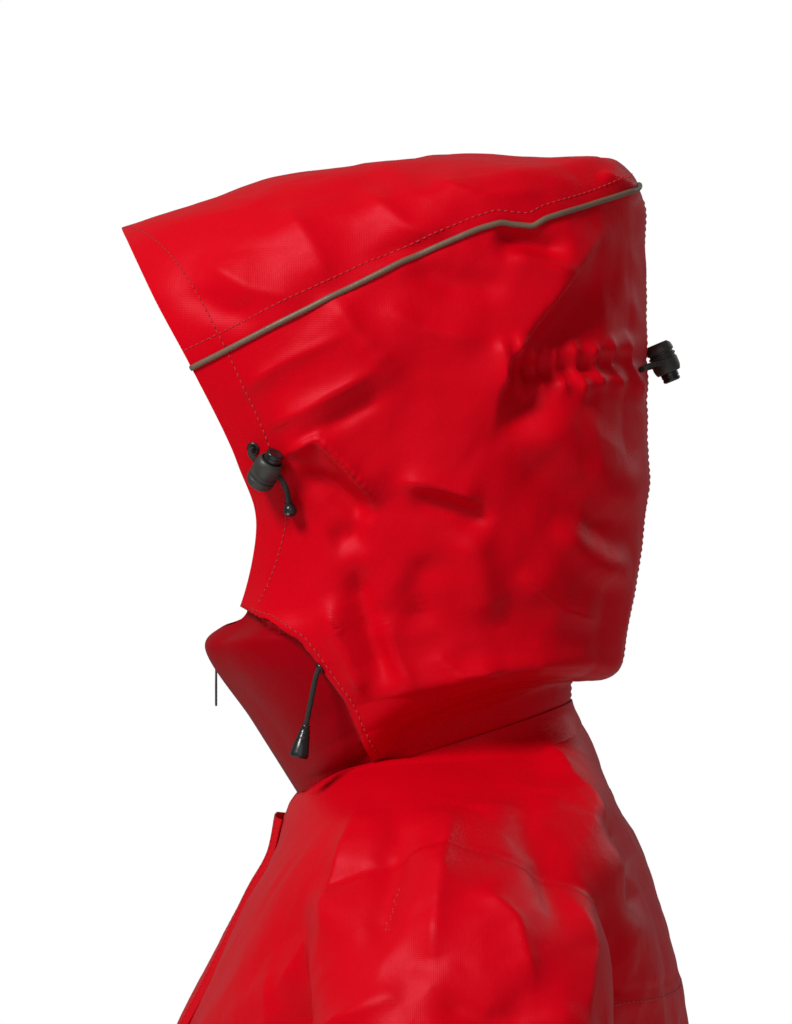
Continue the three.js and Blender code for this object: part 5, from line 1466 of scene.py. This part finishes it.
def wrist_band(name, side, half, start, end, low, high, material, body, rounded):
    """A strip round the sleeve between two angles, its far end rounded."""
    share, wide = np.meshgrid(np.linspace(0, 1, 70), np.linspace(-1, 1, 15), indexing="ij")
    tip = np.clip((share - (1 - rounded)) / rounded, 0, 0.985)
    t = 6.72 + wide * half * np.sqrt(1 - tip**2)
    places = sleeve_surface(t, start + (end - start) * share) * [side, 1, 1]
    cells = np.arange(share.size).reshape(share.shape)
    faces = np.stack([cells[:-1, :-1], cells[:-1, 1:], cells[1:, 1:], cells[1:, :-1]], -1).reshape(-1, 4)
    centre = sleeve_frame(np.array(6.72))[0] * [side, 1, 1]
    outward = places.reshape(-1, 3) - centre
    laid, laid_out = worn_body.near(places.reshape(-1, 3))
    laid = laid.reshape(places.shape)
    for _ in range(4):
        laid[1:-1] = 0.5 * laid[1:-1] + 0.25 * (laid[:-2] + laid[2:])
    cloth = Cloth(laid.reshape(-1, 3), faces, outward)
    rim = np.maximum(np.abs(wide), tip / 0.985).ravel()
    top = high - 0.5 * (rim > 0.97)
    if rounded > 0.1:
        ribbed = (share.ravel() > 0.72) & (share.ravel() < 0.95) & (rim < 0.75)
        top = top - 0.5 * (ribbed & (np.arange(share.size) // share.shape[1] % 3 > 0))
    made = cloth.piece(name, np.ones(len(faces), bool), top, low, material)
    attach(made, body)
    return made


for name, side in (("left", 1), ("right", -1)):
    pad = wrist_band(f"cuff_loop_tape_{name}", side, 0.104, 0.1 * math.pi, -0.12 * math.pi - 0.25, 0.15, 1.2,
                     fleece, "jacket", 0.03)
    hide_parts(f"cuff_pad_{name}")
    tab = wrist_band(f"cuff_tab_moulded_{name}", side, 0.13, 0.42 * math.pi, -0.12 * math.pi, 1.5, 3.4,
                     grey_plastic, f"cuff_tab_{name}_body", 0.14)
    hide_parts(f"cuff_tab_{name}")

# ------------------------------------------------------------------ cord locks
# A spring lock at each cheek and one at the back hold the hood's cords. Each is a barrel of dark grey plastic
# with a grooved waist and a ribbed rim. Its black plunger stands on two legs and presses a coil spring.



steel = finish("spring_steel", plastic_finish((0.45, 0.45, 0.46), (0.62, 0.62, 0.63), 0.22), Metallic=1.0)


def cad_points(name):
    mesh = frame["nodes"][name].data
    flat = np.empty(3 * len(mesh.vertices))
    mesh.vertices.foreach_get("co", flat)
    return flat.reshape(-1, 3) * 1000


barrel_profile = [
    (0, -8.5), (5.2, -8.5), (5.6, -8.35), (6.9, -7), (7.15, -6.4), (7.5, -4.6), (7.5, -3.6), (7.3, -3.3),
    (6.7, -3.1), (6.6, -2.6), (6.7, -2.1), (7.3, -1.9), (7.5, -1.6), (7.5, -0.9), (6.95, -0.5), (6.85, 0),
    (6.85, 0.4), (7.45, 0.8), (7.5, 1.2), (7.5, 5.2), (7.35, 6.0), (6.9, 7.5), (6.4, 8.3), (5.9, 8.5),
    (5.4, 8.5), (5.2, 8.2), (5.2, -6.8), (0, -7),
]
plunger_profile = [
    (0, 7.9), (4.7, 7.9), (4.8, 8.2), (4.8, 10.6), (4.72, 10.9), (4.45, 11.05), (4.45, 11.5), (4.72, 11.7),
    (4.8, 12), (4.75, 12.6), (4.4, 13.1), (3.6, 13.45), (2.6, 13.3), (1.4, 13.0), (0, 12.9),
]
plunger_foot = [(0, -1), (4.5, -1), (4.7, -0.8), (4.7, -0.1), (4.5, 0.1), (0, 0.1)]
legs = [block((5.6, 1.6, 8.8), (0, y, 3.6), 0.3) for y in (-2.95, 2.95)]
coil_turn = np.linspace(0, 6.4 * math.pi, 110)
coil_line = np.stack([3.4 * np.cos(coil_turn), 3.4 * np.sin(coil_turn), np.linspace(-6.4, -1.6, 110)], -1)
cord_ways = {"face_lock_left": cheek_route[10] - cheek_route[6], "rear_lock": np.array([1.0, 0, 0])}
cord_ways["face_lock_right"] = cord_ways["face_lock_left"] * [-1, 1, 1]
for name in ("face_lock_left", "face_lock_right", "rear_lock"):
    axis = -np.array(joints[f"{name}_press"]["axis"], float)
    places = cad_points(f"{name}_barrel")
    reach = places @ axis
    middle = places.mean(axis=0)
    centre = middle + ((reach.max() + reach.min()) / 2 - middle @ axis) * axis
    frame_at = standing(centre, axis, cord_ways[name])
    ribbed = turned(barrel_profile, 48, 12, 0.28, (1.3, 5.1))
    barrel = assembled(f"{name}_barrel_moulded", [ribbed], frame_at, grey_plastic, "jacket")
    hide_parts(f"{name}_barrel")
    stem = [turned(plunger_profile), turned(plunger_foot), *legs]
    plunger = assembled(f"{name}_plunger_moulded", stem, frame_at, black_plastic, f"{name}_plunger_body")
    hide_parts(f"{name}_plunger")
    wound = centre + coil_line @ np.array(frame_at[1:])
    spring = tube(f"{name}_spring_coil", wound, 0.42, steel)
    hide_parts(f"{name}_spring")
    tuple(0.001 * (centre - 7 * axis))
    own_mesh(spring)
hole = centre + 3 * axis
feet, _ = worn_hood.near(np.array([(46, 116, hole[2]), (36, 122, hole[2])]), 1.5)
half_run = np.array([*feet, (20, hole[1] - 1.5, hole[2]), (12, hole[1], hole[2]), (4, hole[1], hole[2])])
full_run = np.concatenate([half_run, (half_run * [-1, 1, 1])[::-1]])
at = np.linspace(0, len(full_run) - 1, 40)
full_run = np.stack([np.interp(at, np.arange(len(full_run)), full_run[:, c]) for c in range(3)], -1)
rear = tube("rear_cord_braid", smooth_line(full_run, 4), 1.4, cord_material, 12)
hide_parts("rear_cord")
eyelet_profile = [
    (0, -0.6), (3.2, -0.6), (3.5, -0.2), (3.45, 0.2), (3.1, 0.6),
    (2.5, 0.75), (1.9, 0.5), (1.7, 0.1), (0, 0.1),
]
for name, side in (("left", 1), ("right", -1)):
    for part, route in (("cheek", cheek_route), ("collar", collar_route)):
        places, outs = worn_hood.near(route[:1] * [side, 1, 1], 0.3)
        eyelet = assembled(f"{part}_eyelet_{name}", [turned(eyelet_profile, 30)],
                           standing(places[0], outs[0]), black_plastic, "jacket")
